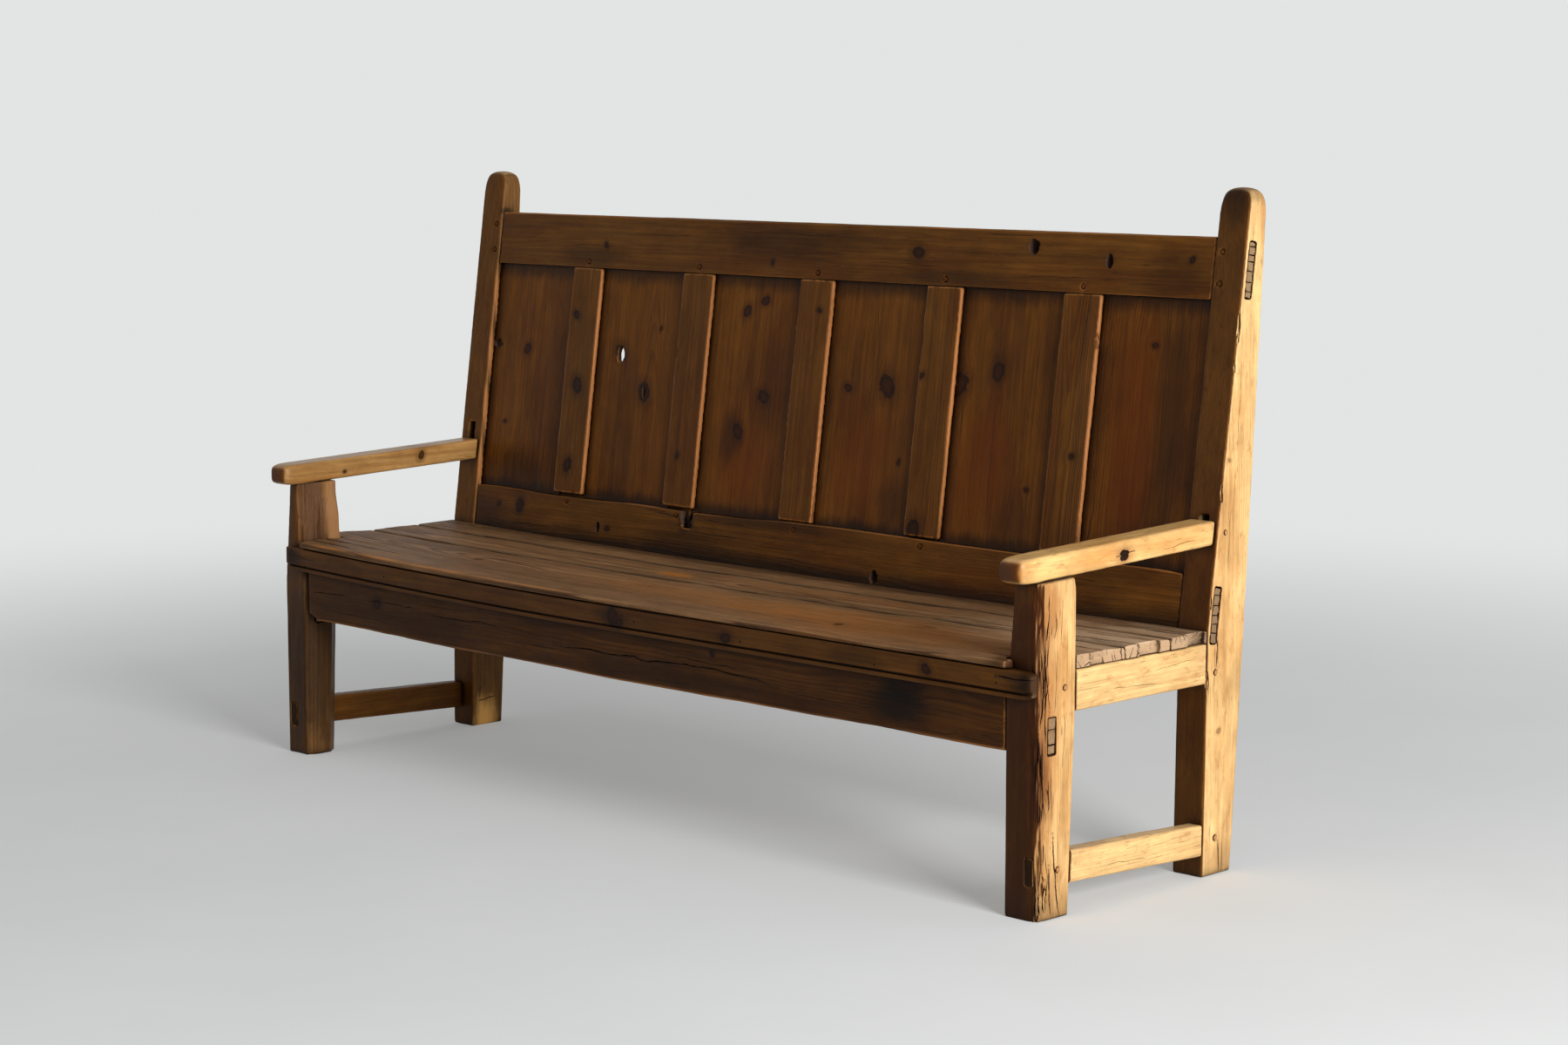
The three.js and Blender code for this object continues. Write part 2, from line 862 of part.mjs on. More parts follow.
function place(name, finish, geometry) {
  const material = new THREE.MeshStandardMaterial({ color: finishes[finish], roughness: 0.6 });
  material.name = finish;
  const mesh = new THREE.Mesh(geometry, material);
  mesh.name = name;
  bench.add(mesh);
}

for (const side of sides) {
  place(`rear_post_${side.name}`, 'frame', makeRearPost(side));
  place(`front_post_${side.name}`, 'frame', makeFrontPost(side));
  place(`arm_${side.name}`, 'frame', makeArm(side));
  place(`side_rail_${side.name}`, 'frame', makeEndRail(side));
  place(`side_stretcher_${side.name}`, 'frame', makeStretcher(side));
  place(`seat_bearer_${side.name}`, 'frame', makeBearer(side));
}
place('top_rail', 'frame', makeTopRail());
place('lower_rail', 'frame', makeLowerRail());
for (const [index, name] of muntinNames.entries()) {
  place(name, 'frame', makeMuntin(index));
}
for (const [index, name] of panelNames.entries()) {
  place(name, 'panel', makePanel(name, index));
}
place('front_apron', 'frame', makeApron());
place('front_fascia', 'frame', makeFascia());
place('seat_board_front', 'seat', makeFrontBoard());
place('seat_board_middle', 'seat', makeMiddleBoard());
place('seat_board_rear', 'seat', makeRearBoard());
for (const { name, sign } of sides) {
  place(`peg_top_rail_low_${name}`, 'peg', topRailPeg(sign, postPegLowUp, 0));
  place(`peg_top_rail_high_${name}`, 'peg', topRailPeg(sign, postPegHighUp, 0));
  place(`peg_arm_${name}`, 'peg', armPeg(sign, 0));
  place(`peg_side_rail_front_${name}`, 'peg', endRailFrontPeg(sign, 0));
  place(`peg_side_rail_rear_${name}`, 'peg', endRailRearPeg(sign, 0));
  place(`peg_stretcher_front_${name}`, 'peg', stretcherFrontPeg(sign, 0));
  place(`peg_stretcher_rear_${name}`, 'peg', stretcherRearPeg(sign, 0));
}
for (const index of muntinNumbers) {
  place(`peg_muntin_top_${index + 1}`, 'peg', topMuntinPeg(index, 0));
  place(`peg_muntin_bottom_${index + 1}`, 'peg', lowerMuntinPeg(index, 0));
}

const middle = new THREE.Box3().setFromObject(bench).getCenter(new THREE.Vector3());
for (const mesh of bench.children) {
  mesh.geometry.translate(0, -middle.y, 0);
}

export default bench;
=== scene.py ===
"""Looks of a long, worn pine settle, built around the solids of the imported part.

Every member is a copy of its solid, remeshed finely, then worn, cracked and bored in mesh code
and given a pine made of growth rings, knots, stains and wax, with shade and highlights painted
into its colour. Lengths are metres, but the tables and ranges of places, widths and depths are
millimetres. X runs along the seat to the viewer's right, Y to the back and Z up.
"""

import math
import bmesh
import bpy
import numpy as np
from mathutils import Matrix, Vector


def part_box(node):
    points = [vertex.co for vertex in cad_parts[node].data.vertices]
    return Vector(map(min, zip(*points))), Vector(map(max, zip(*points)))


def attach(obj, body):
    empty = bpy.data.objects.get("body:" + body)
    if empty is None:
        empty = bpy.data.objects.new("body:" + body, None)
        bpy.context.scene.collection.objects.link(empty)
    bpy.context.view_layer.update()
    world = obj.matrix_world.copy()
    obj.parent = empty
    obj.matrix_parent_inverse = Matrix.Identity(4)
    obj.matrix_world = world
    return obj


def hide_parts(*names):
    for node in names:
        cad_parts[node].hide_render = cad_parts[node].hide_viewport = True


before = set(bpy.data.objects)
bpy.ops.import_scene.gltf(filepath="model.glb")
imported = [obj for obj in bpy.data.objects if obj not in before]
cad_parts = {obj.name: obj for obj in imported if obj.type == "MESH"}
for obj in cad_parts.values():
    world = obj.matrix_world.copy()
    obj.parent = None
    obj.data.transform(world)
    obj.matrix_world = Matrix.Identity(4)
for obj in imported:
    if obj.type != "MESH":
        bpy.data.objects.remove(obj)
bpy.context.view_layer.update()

# Places read from the frame

MM = 0.001
SEAT_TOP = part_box("seat_board_rear")[1].z
POST_LOW, POST_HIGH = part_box("rear_post_right")
HALF_LENGTH = POST_HIGH.x
REAR_POST_INNER = POST_LOW.x
FRONT_POST_LOW, FRONT_POST_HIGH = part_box("front_post_right")
FRONT_POST_INNER = FRONT_POST_LOW.x
FRONT_FACE = FRONT_POST_LOW.y
TOP_RAIL_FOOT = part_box("top_rail")[0].z
APRON_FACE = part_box("front_apron")[0].y
FASCIA_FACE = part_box("front_fascia")[0].y
FASCIA_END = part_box("front_fascia")[1].x
FRONT_SEAM = (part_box("seat_board_front")[1].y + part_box("seat_board_middle")[0].y) / 2
REAR_SEAM = (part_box("seat_board_middle")[1].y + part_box("seat_board_rear")[0].y) / 2
LEAN = 101 * MM
RISE = 730 * MM
RAKE = math.atan2(LEAN, RISE)
POST_FRONT_AT_SEAT = POST_LOW.y + 5 * MM
RAIL_SET_BACK = 3 * MM
PANEL_SET_BACK = 13 * MM
EDGE_SET_BACK = 8 * MM

ALONG_X = Vector((1, 0, 0))
ALONG_Y = Vector((0, 1, 0))
ALONG_Z = Vector((0, 0, 1))
TO_FRONT = Vector((0, -1, 0))
INTO_FRONT = ALONG_Y
UP_SLOPE = Vector((0, math.sin(RAKE), math.cos(RAKE)))
OUT_OF_BACK = Vector((0, -math.cos(RAKE), math.sin(RAKE)))
INTO_BACK = -OUT_OF_BACK
INTO_WANE = Vector((-1, 1, 0)).normalized()


def scaled(*values):
    """Millimetres turned into metres."""
    return [value * MM for value in values]


def spot(*place):
    """A place given in millimetres."""
    return Vector(place) * MM


def on_back(x, z, depth):
    """The point at height z of the plane that lies depth behind the rear posts' front faces."""
    y = POST_FRONT_AT_SEAT + (z - SEAT_TOP) * LEAN / RISE + depth / math.cos(RAKE)
    return Vector((x, y, z))


def back_plane(depth):
    """Puts an x and a height in millimetres on a plane of the raked back."""
    return lambda x, z: on_back(x * MM, z * MM, depth)


def front_plane(y):
    """Puts an x and a height in millimetres on an upright plane that faces the front."""
    return lambda x, z: Vector((x * MM, y, z * MM))


def side_plane(x):
    """Puts a depth and a height in millimetres on an upright plane that faces sideways."""
    return lambda y, z: Vector((x, y * MM, z * MM))


on_rails = back_plane(RAIL_SET_BACK)
on_panels = back_plane(PANEL_SET_BACK)
on_edges = back_plane(EDGE_SET_BACK)
on_apron = front_plane(APRON_FACE)
on_fascia = front_plane(FASCIA_FACE)
on_right_side = side_plane(HALF_LENGTH)

# Sizes of wear

VOXEL = 0.0025
EDGE_PATCH = 0.045
EDGE_NICK = 0.013
EDGE_WEAR_LIMITS = (0.08, 1.15)
LONG_WAVE = 0.12
SHORT_WAVE = 0.03
FACE_WAVES = 0.0008
EDGE_BULGE = 0.0015
BULGE_ROUNDS = 6
SOFT_ROUNDS = 44
SHARP_ANGLE = math.radians(50)
CRACK_STEP = 0.007
CRACK_WANDER = 0.0025
CRACK_PROUD = 0.004
CRACK_BENDS = 35 * MM
CRACK_JOLTS = 9 * MM
CRACK_SWELLS = 16 * MM
CRACK_SIDES = 3
CRACK_CLOSED = 0.12
LEAST_CRACK_STEPS = 6
CRACK_DIRT_SHARE = 1.7
HOLE_SIDES = 18
HOLE_RINGS = 5
HOLE_PROUD_SHARE = 0.3
HOLE_TAPER = 0.25
HOLE_DIRT_SHARE = 0.36
SEAM_DIRT = 0.009
# Whether a cut face shows bare wood or the dark hollow, as an index of the materials
BARE, HOLLOWED = 0, 1

# Noise

CELL_FACTORS = (73856093, 19349663, 83492791)
SEED_FACTOR = 2654435
STIRS = ((13, 1274126177), (16, 668265263))
LOW_BITS = 0xFFFF
ALL_BITS = 0xFFFFFFFF


def cell_value(cell, seed):
    """A value from -1 to 1 for each cell, scattered but the same in each run."""
    first, second, third = (cell[:, axis] * factor for axis, factor in enumerate(CELL_FACTORS))
    mixed = first ^ second ^ third ^ seed * SEED_FACTOR
    for shift, factor in STIRS:
        mixed = (mixed ^ (mixed >> shift)) * factor & ALL_BITS
    return ((mixed ^ (mixed >> 15)) & LOW_BITS) / (LOW_BITS / 2) - 1


def eased(share):
    """Slows a share down near 0 and 1."""
    return share * share * (3 - 2 * share)


def noise(points, feature, seed):
    """Smooth noise from -1 to 1 at each point; feature is its size, or one size for each axis."""
    scaled_points = points / np.asarray(feature)
    base = np.floor(scaled_points).astype(np.int64)
    part = eased(scaled_points - base)
    total = np.zeros(len(points))
    for corner in range(8):
        step = np.array([corner & 1, corner >> 1 & 1, corner >> 2 & 1])
        share = np.where(step, part, 1 - part).prod(axis=1)
        total += share * cell_value(base + step, seed)
    return total


def smooth_step(value, low, high):
    return eased(np.clip((value - low) / (high - low), 0, 1))


def towards(value, end, reach):
    """Grows from 0 to 1 before an end; reach says how far before it the growth starts and stops."""
    return smooth_step(value, end - reach[0], end - reach[1])


def swelling(value, middle, reach):
    """1 at the middle, falling away over the reach to both sides."""
    return np.exp(-((value - middle) / reach) ** 2)


# Mesh tools

def values_of(items, key, width=3, kind=float):
    values = np.empty(len(items) * width, kind)
    items.foreach_get(key, values)
    return values.reshape(-1, width)


def points_of(mesh):
    return values_of(mesh.vertices, "co")


def put_points(mesh, points):
    mesh.vertices.foreach_set("co", np.ascontiguousarray(points).ravel())
    mesh.update()


def relaxed(points, edges, rounds):
    """The points after each has moved halfway to its neighbours' middle, rounds times."""
    first, second = edges.T
    count = np.bincount(edges.ravel(), minlength=len(points))
    for _ in range(rounds):
        total = np.empty_like(points)
        for axis in range(3):
            column = points[:, axis]
            total[:, axis] = np.bincount(first, column[second], len(points))
            total[:, axis] += np.bincount(second, column[first], len(points))
        points = (points + total / count[:, None]) / 2
    return points


def evaluate(piece):
    """Applies the piece's modifiers to its mesh."""
    graph = bpy.context.evaluated_depsgraph_get()
    mesh = bpy.data.meshes.new_from_object(piece.evaluated_get(graph))
    piece.modifiers.clear()
    old = piece.data
    piece.data = mesh
    bpy.data.meshes.remove(old)


def new_object(name, shape):
    """An object of its own, made from a shape that isn't needed after it."""
    mesh = bpy.data.meshes.new(name)
    shape.to_mesh(mesh)
    shape.free()
    piece = bpy.data.objects.new(name, mesh)
    bpy.context.scene.collection.objects.link(piece)
    return piece


def copy_of(node, name):
    """A welded copy of a solid's mesh."""
    shape = bmesh.new()
    shape.from_mesh(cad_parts[node].data)
    bmesh.ops.remove_doubles(shape, verts=shape.verts, dist=1e-6)
    return new_object(name, shape)


def remesh(piece, voxel):
    modifier = piece.modifiers.new("fine", "REMESH")
    modifier.mode = "VOXEL"
    modifier.voxel_size = voxel
    evaluate(piece)


def carve(piece, cutters):
    """Cuts the cutters out of the piece; cut faces keep the material index of their cutter."""
    if not cutters:
        return
    group = bpy.data.collections.new("cutters")
    for cutter in cutters:
        group.objects.link(cutter)
    modifier = piece.modifiers.new("cut", "BOOLEAN")
    modifier.operation = "DIFFERENCE"
    modifier.solver = "MANIFOLD"
    modifier.operand_type = "COLLECTION"
    modifier.collection = group
    evaluate(piece)
    for cutter in cutters:
        bpy.data.meshes.remove(cutter.data)
    bpy.data.collections.remove(group)


def new_cutter(shape, inner, line, dirt):
    """A cutter whose cut faces get the material index inner and that soils the points near its line."""
    cutter = new_object("cutter", shape)
    cutter.data.polygons.foreach_set("material_index", [inner] * len(cutter.data.polygons))
    cutter["line"] = line
    cutter["dirt"] = dirt
    return cutter


def tube(points, sides, line, dirt):
    """A closed cutter whose points come ring by ring, and whose cut faces show the dark hollow."""
    last = len(points) - sides
    faces = [range(sides), range(last, last + sides)]
    for low in range(0, last, sides):
        for side in range(sides):
            after = (side + 1) % sides
            faces.append((low + side, low + after, low + after + sides, low + side + sides))
    shape = bmesh.new()
    corners = [shape.verts.new(point) for point in points]
    for face in faces:
        shape.faces.new([corners[index] for index in face])
    bmesh.ops.recalc_face_normals(shape, faces=shape.faces)
    return new_cutter(shape, HOLLOWED, line, dirt)


def hole(at, into, width, height, depth, seed, tall=ALONG_Z, rough=0.12):
    """A ragged knot-hole or chip: a noisy tapering plug whose axis points into the wood."""
    tall = (tall - into * tall.dot(into)).normalized()
    wide = tall.cross(into).normalized()
    rim = []
    for ring in range(HOLE_RINGS + 1):
        share = ring / HOLE_RINGS
        middle = at + into * (depth * (share * (1 + HOLE_PROUD_SHARE) - HOLE_PROUD_SHARE))
        for side in range(HOLE_SIDES):
            angle = math.tau * side / HOLE_SIDES
            rim.append((middle, 1 - HOLE_TAPER * share, math.cos(angle), math.sin(angle)))
    spots = np.array([
        [cosine * 2.2, sine * 2.2, middle.dot(into) / max(depth, MM)]
        for middle, _, cosine, sine in rim
    ])
    ragged = 1 + rough * noise(spots, 1, seed) + rough / 2 * noise(spots, 0.4, seed + 1)
    points = [
        middle + (wide * (cosine * width) + tall * (sine * height)) * (size * scale / 2)
        for (middle, size, cosine, sine), scale in zip(rim, ragged)
    ]
    return tube(points, HOLE_SIDES, [*at], (width + height) * HOLE_DIRT_SHARE)


def along_path(path, count):
    """The places that divide a path of straight stretches into count equal parts."""
    lengths = [(after - before).length for before, after in zip(path, path[1:])]
    places = []
    for index in range(count + 1):
        left = sum(lengths) * index / count
        for before, after, length in zip(path, path[1:], lengths):
            if left <= length or after is path[-1]:
                places.append(before.lerp(after, left / length))
                break
            left -= length
    return places


def crack(path, into, width, depth, seed, wander=CRACK_WANDER, proud=CRACK_PROUD):
    """A split that follows the path over a face: a blade, widest at the face and closed at its ends."""
    total = sum((after - before).length for before, after in zip(path, path[1:]))
    count = max(int(total / CRACK_STEP), LEAST_CRACK_STEPS)
    middles = along_path(path, count)
    spots = np.array(middles)
    across = (path[-1] - path[0]).normalized().cross(into).normalized()
    shift = (noise(spots, CRACK_BENDS, seed) + 0.35 * noise(spots, CRACK_JOLTS, seed + 1)) * wander
    thick = 1 + 0.55 * noise(spots, CRACK_SWELLS, seed + 2)
    points, line = [], []
    for index, middle in enumerate(middles):
        share = index / count
        fade = min(1, 5 * share + CRACK_CLOSED, 5 * (1 - share) + CRACK_CLOSED)
        half = width / 2 * fade * thick[index]
        deep = depth * (0.35 + 0.65 * fade)
        centre = middle + across * shift[index]
        top = half * (1 + proud / deep)
        line += [*centre]
        points += [
            centre - across * top - into * proud,
            centre + across * top - into * proud,
            centre + into * deep,
        ]
    return tube(points, CRACK_SIDES, line, width * CRACK_DIRT_SHARE)


def bite(at, size, seed, rough, inner=BARE, turn=0.0, square=0.0):
    """A ragged lump, round or nearly a block, that breaks a corner away."""
    shape = bmesh.new()
    bmesh.ops.create_icosphere(shape, subdivisions=4, radius=0.5)
    spots = np.array([vert.co for vert in shape.verts])
    swell = 1 + rough * noise(spots, 0.35, seed) + rough * 0.5 * noise(spots, 0.13, seed + 1)
    boxed = spots / (2 * np.abs(spots).max(axis=1))[:, None]
    spots = (spots + (boxed - spots) * square) * swell[:, None]
    place = Matrix.Translation(at) @ Matrix.Rotation(turn, 4, "Y") @ Matrix.Diagonal((*size, 1))
    for vert, spot_inside in zip(shape.verts, spots):
        vert.co = place @ Vector(spot_inside)
    return new_cutter(shape, inner, [*at], 0.0)


def keep_values(piece, name, values):
    layer = piece.data.attributes.new(name, "FLOAT", "POINT")
    layer.data.foreach_set("value", values.astype(np.float32))


def weather(piece, rounds, uneven, waves, seed, shape=None, soft=None, scars=None):
    """Rounds the edges unevenly, sinks the faces in gentle waves and notes the wear of each point."""
    mesh = piece.data
    points = points_of(mesh)
    if shape is not None:
        points = shape(points)
    edges = values_of(mesh.edges, "vertices", 2, np.int64)
    softer = relaxed(points, edges, rounds)
    patches = noise(points, EDGE_PATCH, seed) + 0.6 * noise(points, EDGE_NICK, seed + 1)
    amount = np.clip(0.5 + uneven * patches / 2, *EDGE_WEAR_LIMITS)
    worn = points + (softer - points) * amount[:, None]
    if soft is not None:
        softest = relaxed(softer, edges, SOFT_ROUNDS)
        worn += (softest - worn) * soft(points)[:, None]
    put_points(mesh, worn)
    normals = values_of(mesh.vertex_normals, "vector")
    sink = 0.65 * (1 + noise(points, LONG_WAVE, seed + 2)) + 0.35 * (1 + noise(points, SHORT_WAVE, seed + 3))
    worn -= normals * (sink / 2 * waves)[:, None]
    if scars is not None:
        worn = scars(worn)
    put_points(mesh, worn)
    flat = relaxed(worn, edges, rounds + BULGE_ROUNDS)
    bulge = np.einsum("ij,ij->i", worn - flat, normals) / EDGE_BULGE
    keep_values(piece, "wear", np.clip(bulge, -1, 1))


def soil(piece, cutters, seams):
    """Notes how much dirt lies on each point: it gathers along cracks, holes and seams."""
    points = points_of(piece.data)
    dirt = np.zeros(len(points))
    lines = [(np.array(cutter["line"]).reshape(-1, 3), cutter["dirt"]) for cutter in cutters]
    lines = [(line, reach) for line, reach in lines if reach > VOXEL]
    lines += [(np.array(seam), SEAM_DIRT) for seam in seams]
    for line, reach in lines:
        box = (points > line.min(axis=0) - reach) & (points < line.max(axis=0) + reach)
        near = np.flatnonzero(box.all(axis=1))
        for place in line:
            away = np.linalg.norm(points[near] - place, axis=1)
            dirt[near] = np.maximum(dirt[near], 1 - smooth_step(away, 0, reach))
    keep_values(piece, "soil", dirt)


# Materials

class Nodes:
    """A node tree, with short calls that add a node and give its output."""

    def __init__(self, tree):
        self.tree = tree

    def node(self, kind, inputs=(), output=0, **settings):
        made = self.tree.nodes.new("ShaderNode" + kind)
        for key, value in settings.items():
            setattr(made, key, value)
        for key, value in dict(inputs).items():
            self.feed(made.inputs[key], value)
        return made.outputs[output]

    def feed(self, socket, value):
        if isinstance(value, bpy.types.NodeSocket):
            self.tree.links.new(value, socket)
        else:
            socket.default_value = value

    def math(self, operation, *values, clamp=False):
        return self.node("Math", enumerate(values), operation=operation, use_clamp=clamp)

    def times(self, first, second, clamp=False):
        return self.math("MULTIPLY", first, second, clamp=clamp)

    def fit(self, value, share, base, clamp=False):
        """The value times a share, plus a base."""
        return self.math("MULTIPLY_ADD", value, share, base, clamp=clamp)

    def squared(self, value):
        return self.math("POWER", value, 2)

    def distance(self, first, second):
        return self.math("SQRT", self.math("ADD", self.squared(first), self.squared(second)))

    def rest(self, share):
        return self.math("SUBTRACT", 1, share)

    def centred(self, value):
        return self.math("SUBTRACT", value, 0.5)

    def parts(self, vector):
        return self.node("SeparateXYZ", {0: vector}).node.outputs

    def vector(self, operation, *values):
        output = 1 if operation in ("LENGTH", "DOT_PRODUCT") else 0
        return self.node("VectorMath", enumerate(values), output, operation=operation)

    def ramp(self, value, low, high):
        inputs = {"Value": value, "From Min": low, "From Max": high}
        return self.node("MapRange", inputs, interpolation_type="SMOOTHSTEP")

    def noise(self, coords, scale, detail=2, roughness=0.5):
        inputs = {"Vector": coords, "Scale": scale, "Detail": detail, "Roughness": roughness}
        return self.node("TexNoise", inputs)

    def mix(self, share, first, second, blend="MIX"):
        inputs = {0: share, 6: first, 7: second}
        return self.node("Mix", inputs, 2, data_type="RGBA", blend_type=blend)

    def background_rays(self):
        """Tells the rays that show the background: from the camera, or through gloss or glass."""
        shown = self.node("LightPath", output="Is Camera Ray")
        for kind in ("Is Glossy Ray", "Is Transmission Ray"):
            shown = self.math("MAXIMUM", shown, self.node("LightPath", output=kind))
        return shown


class Shader(Nodes):
    """The nodes of one material."""

    def __init__(self, name):
        self.material = bpy.data.materials.new(name)
        self.material.use_nodes = True
        super().__init__(self.material.node_tree)
        self.surface = self.tree.nodes["Principled BSDF"]
        self.place = self.node("TexCoord", output="Object")

    def give(self, inputs):
        """Sets or feeds inputs of the surface."""
        for name, value in inputs.items():
            self.feed(self.surface.inputs[name], value)


def colour(red, green, blue):
    """A colour given by its screen values from 0 to 255."""
    return (*((value / 255) ** 2.2 for value in (red, green, blue)), 1)


# Colours that darken faces turned to the front or back, and by a share other faces: dark wax, and painted
# shade for faces away from the window.
WAX_AND_PAINTED_SHADE = (0.235, 0.138, 0.043, 1)
DARK_WAX_AND_PAINTED_SHADE = (0.165, 0.097, 0.03, 1)
DEEPER_WAX_AND_PAINTED_SHADE = (0.125, 0.073, 0.023, 1)
LOOKS = {
    "frame": dict(
        early=colour(228, 186, 126), late=colour(190, 138, 82), patch=colour(180, 126, 72),
        end=colour(164, 138, 106), rough=0.44, relief=0.55, corner_shade_and_dirt=0.9, rings=2.9 * MM, contrast=0.42,
        calm=0.45, scuffs=0.45, wax_and_shade=DARK_WAX_AND_PAINTED_SHADE,
    ),
    "panel": dict(
        early=colour(214, 168, 98), late=colour(168, 112, 56), patch=colour(138, 92, 46),
        end=colour(140, 110, 80), rough=0.42, relief=0.35, corner_shade_and_dirt=1.0, rings=3.4 * MM, contrast=0.45,
    ),
    "seat": dict(
        early=colour(163, 123, 85), late=colour(98, 67, 44), patch=colour(121, 90, 62),
        end=colour(188, 160, 130), rough=0.56, relief=0.9, corner_shade_and_dirt=0.95, rings=3.2 * MM, contrast=0.75,
        # The seat's faces turned to the front or back take less of the dark wax and painted shade.
        wax=0.4,
    ),
    "arm": dict(
        early=colour(230, 184, 118), late=colour(206, 150, 84), patch=colour(184, 126, 66),
        end=colour(150, 108, 50), rough=0.34, relief=0.25, corner_shade_and_dirt=0.8, rings=3.8 * MM, contrast=0.35,
        sheen=0.2, calm=0.65, scuffs=0.4,
    ),
    "apron": dict(
        early=colour(188, 148, 100), late=colour(132, 92, 54), patch=colour(122, 84, 50),
        end=colour(150, 124, 96), rough=0.5, relief=0.7, corner_shade_and_dirt=1.0, rings=2.6 * MM, contrast=0.6,
        wax_and_shade=DARK_WAX_AND_PAINTED_SHADE,
    ),
    "peg": dict(
        early=colour(176, 126, 78), late=colour(122, 80, 46), patch=colour(96, 62, 34),
        end=colour(194, 146, 96), rough=0.55, relief=0.4, corner_shade_and_dirt=0.9, rings=1.6 * MM, contrast=0.7,
    ),
}
# The right rear post, nearest the lamp, takes a darker wax colour: painted shade on its front and back
# faces.
LOOKS["frame_with_painted_shade"] = dict(LOOKS["frame"], wax_and_shade=DEEPER_WAX_AND_PAINTED_SHADE)
PALE_EDGE = colour(238, 194, 136)
AGED_EDGE_AND_HIGHLIGHT = colour(206, 134, 74)
GRIME = colour(26, 15, 7)
KNOT_RIM = colour(58, 37, 17)
KNOT_HEART = colour(104, 66, 30)
HEARTWOOD = colour(204, 126, 54)
SMOKE = colour(70, 48, 30)
WANE_BROWN = colour(166, 110, 62)
DEEP_BROWN = colour(108, 67, 36)
DRY_GREY = colour(196, 160, 124)
# Pale weathered wood on the seat's right end; on the left stub it is a painted highlight.
BLEACH_AND_HIGHLIGHT = colour(214, 184, 150)
PAINTED_LIGHT_WOOD = colour(250, 188, 104)
# Painted highlights on edges that catch the window's light.
PAINTED_EDGE_HIGHLIGHT = colour(190, 124, 74)
TENON_GREY = colour(132, 108, 82)
STRIPE_BROWN = colour(116, 82, 58)
STRIPE_HIGHLIGHT = colour(166, 121, 80)
NOSE_HIGHLIGHT = colour(216, 146, 70)
HOLLOW_DARK = colour(30, 18, 9)
HOLLOW_PALE = colour(82, 51, 28)
SHEEN = 0.1
RING_WOBBLE = 2.4 * MM
RELIEF_HEIGHT = 1 * MM
CORNER_REACH = 30 * MM
FOOT_DIRT_TOP = 80 * MM
SEED_SHIFTS = (0.37, 0.13, 0.21)


def grain_frame(grain, face):
    """The rotation whose X runs along the grain and whose Z comes out of the shown face."""
    grain = grain.normalized()
    side = face.cross(grain).normalized()
    out = grain.cross(side)
    return Matrix((grain, side, out)).transposed()


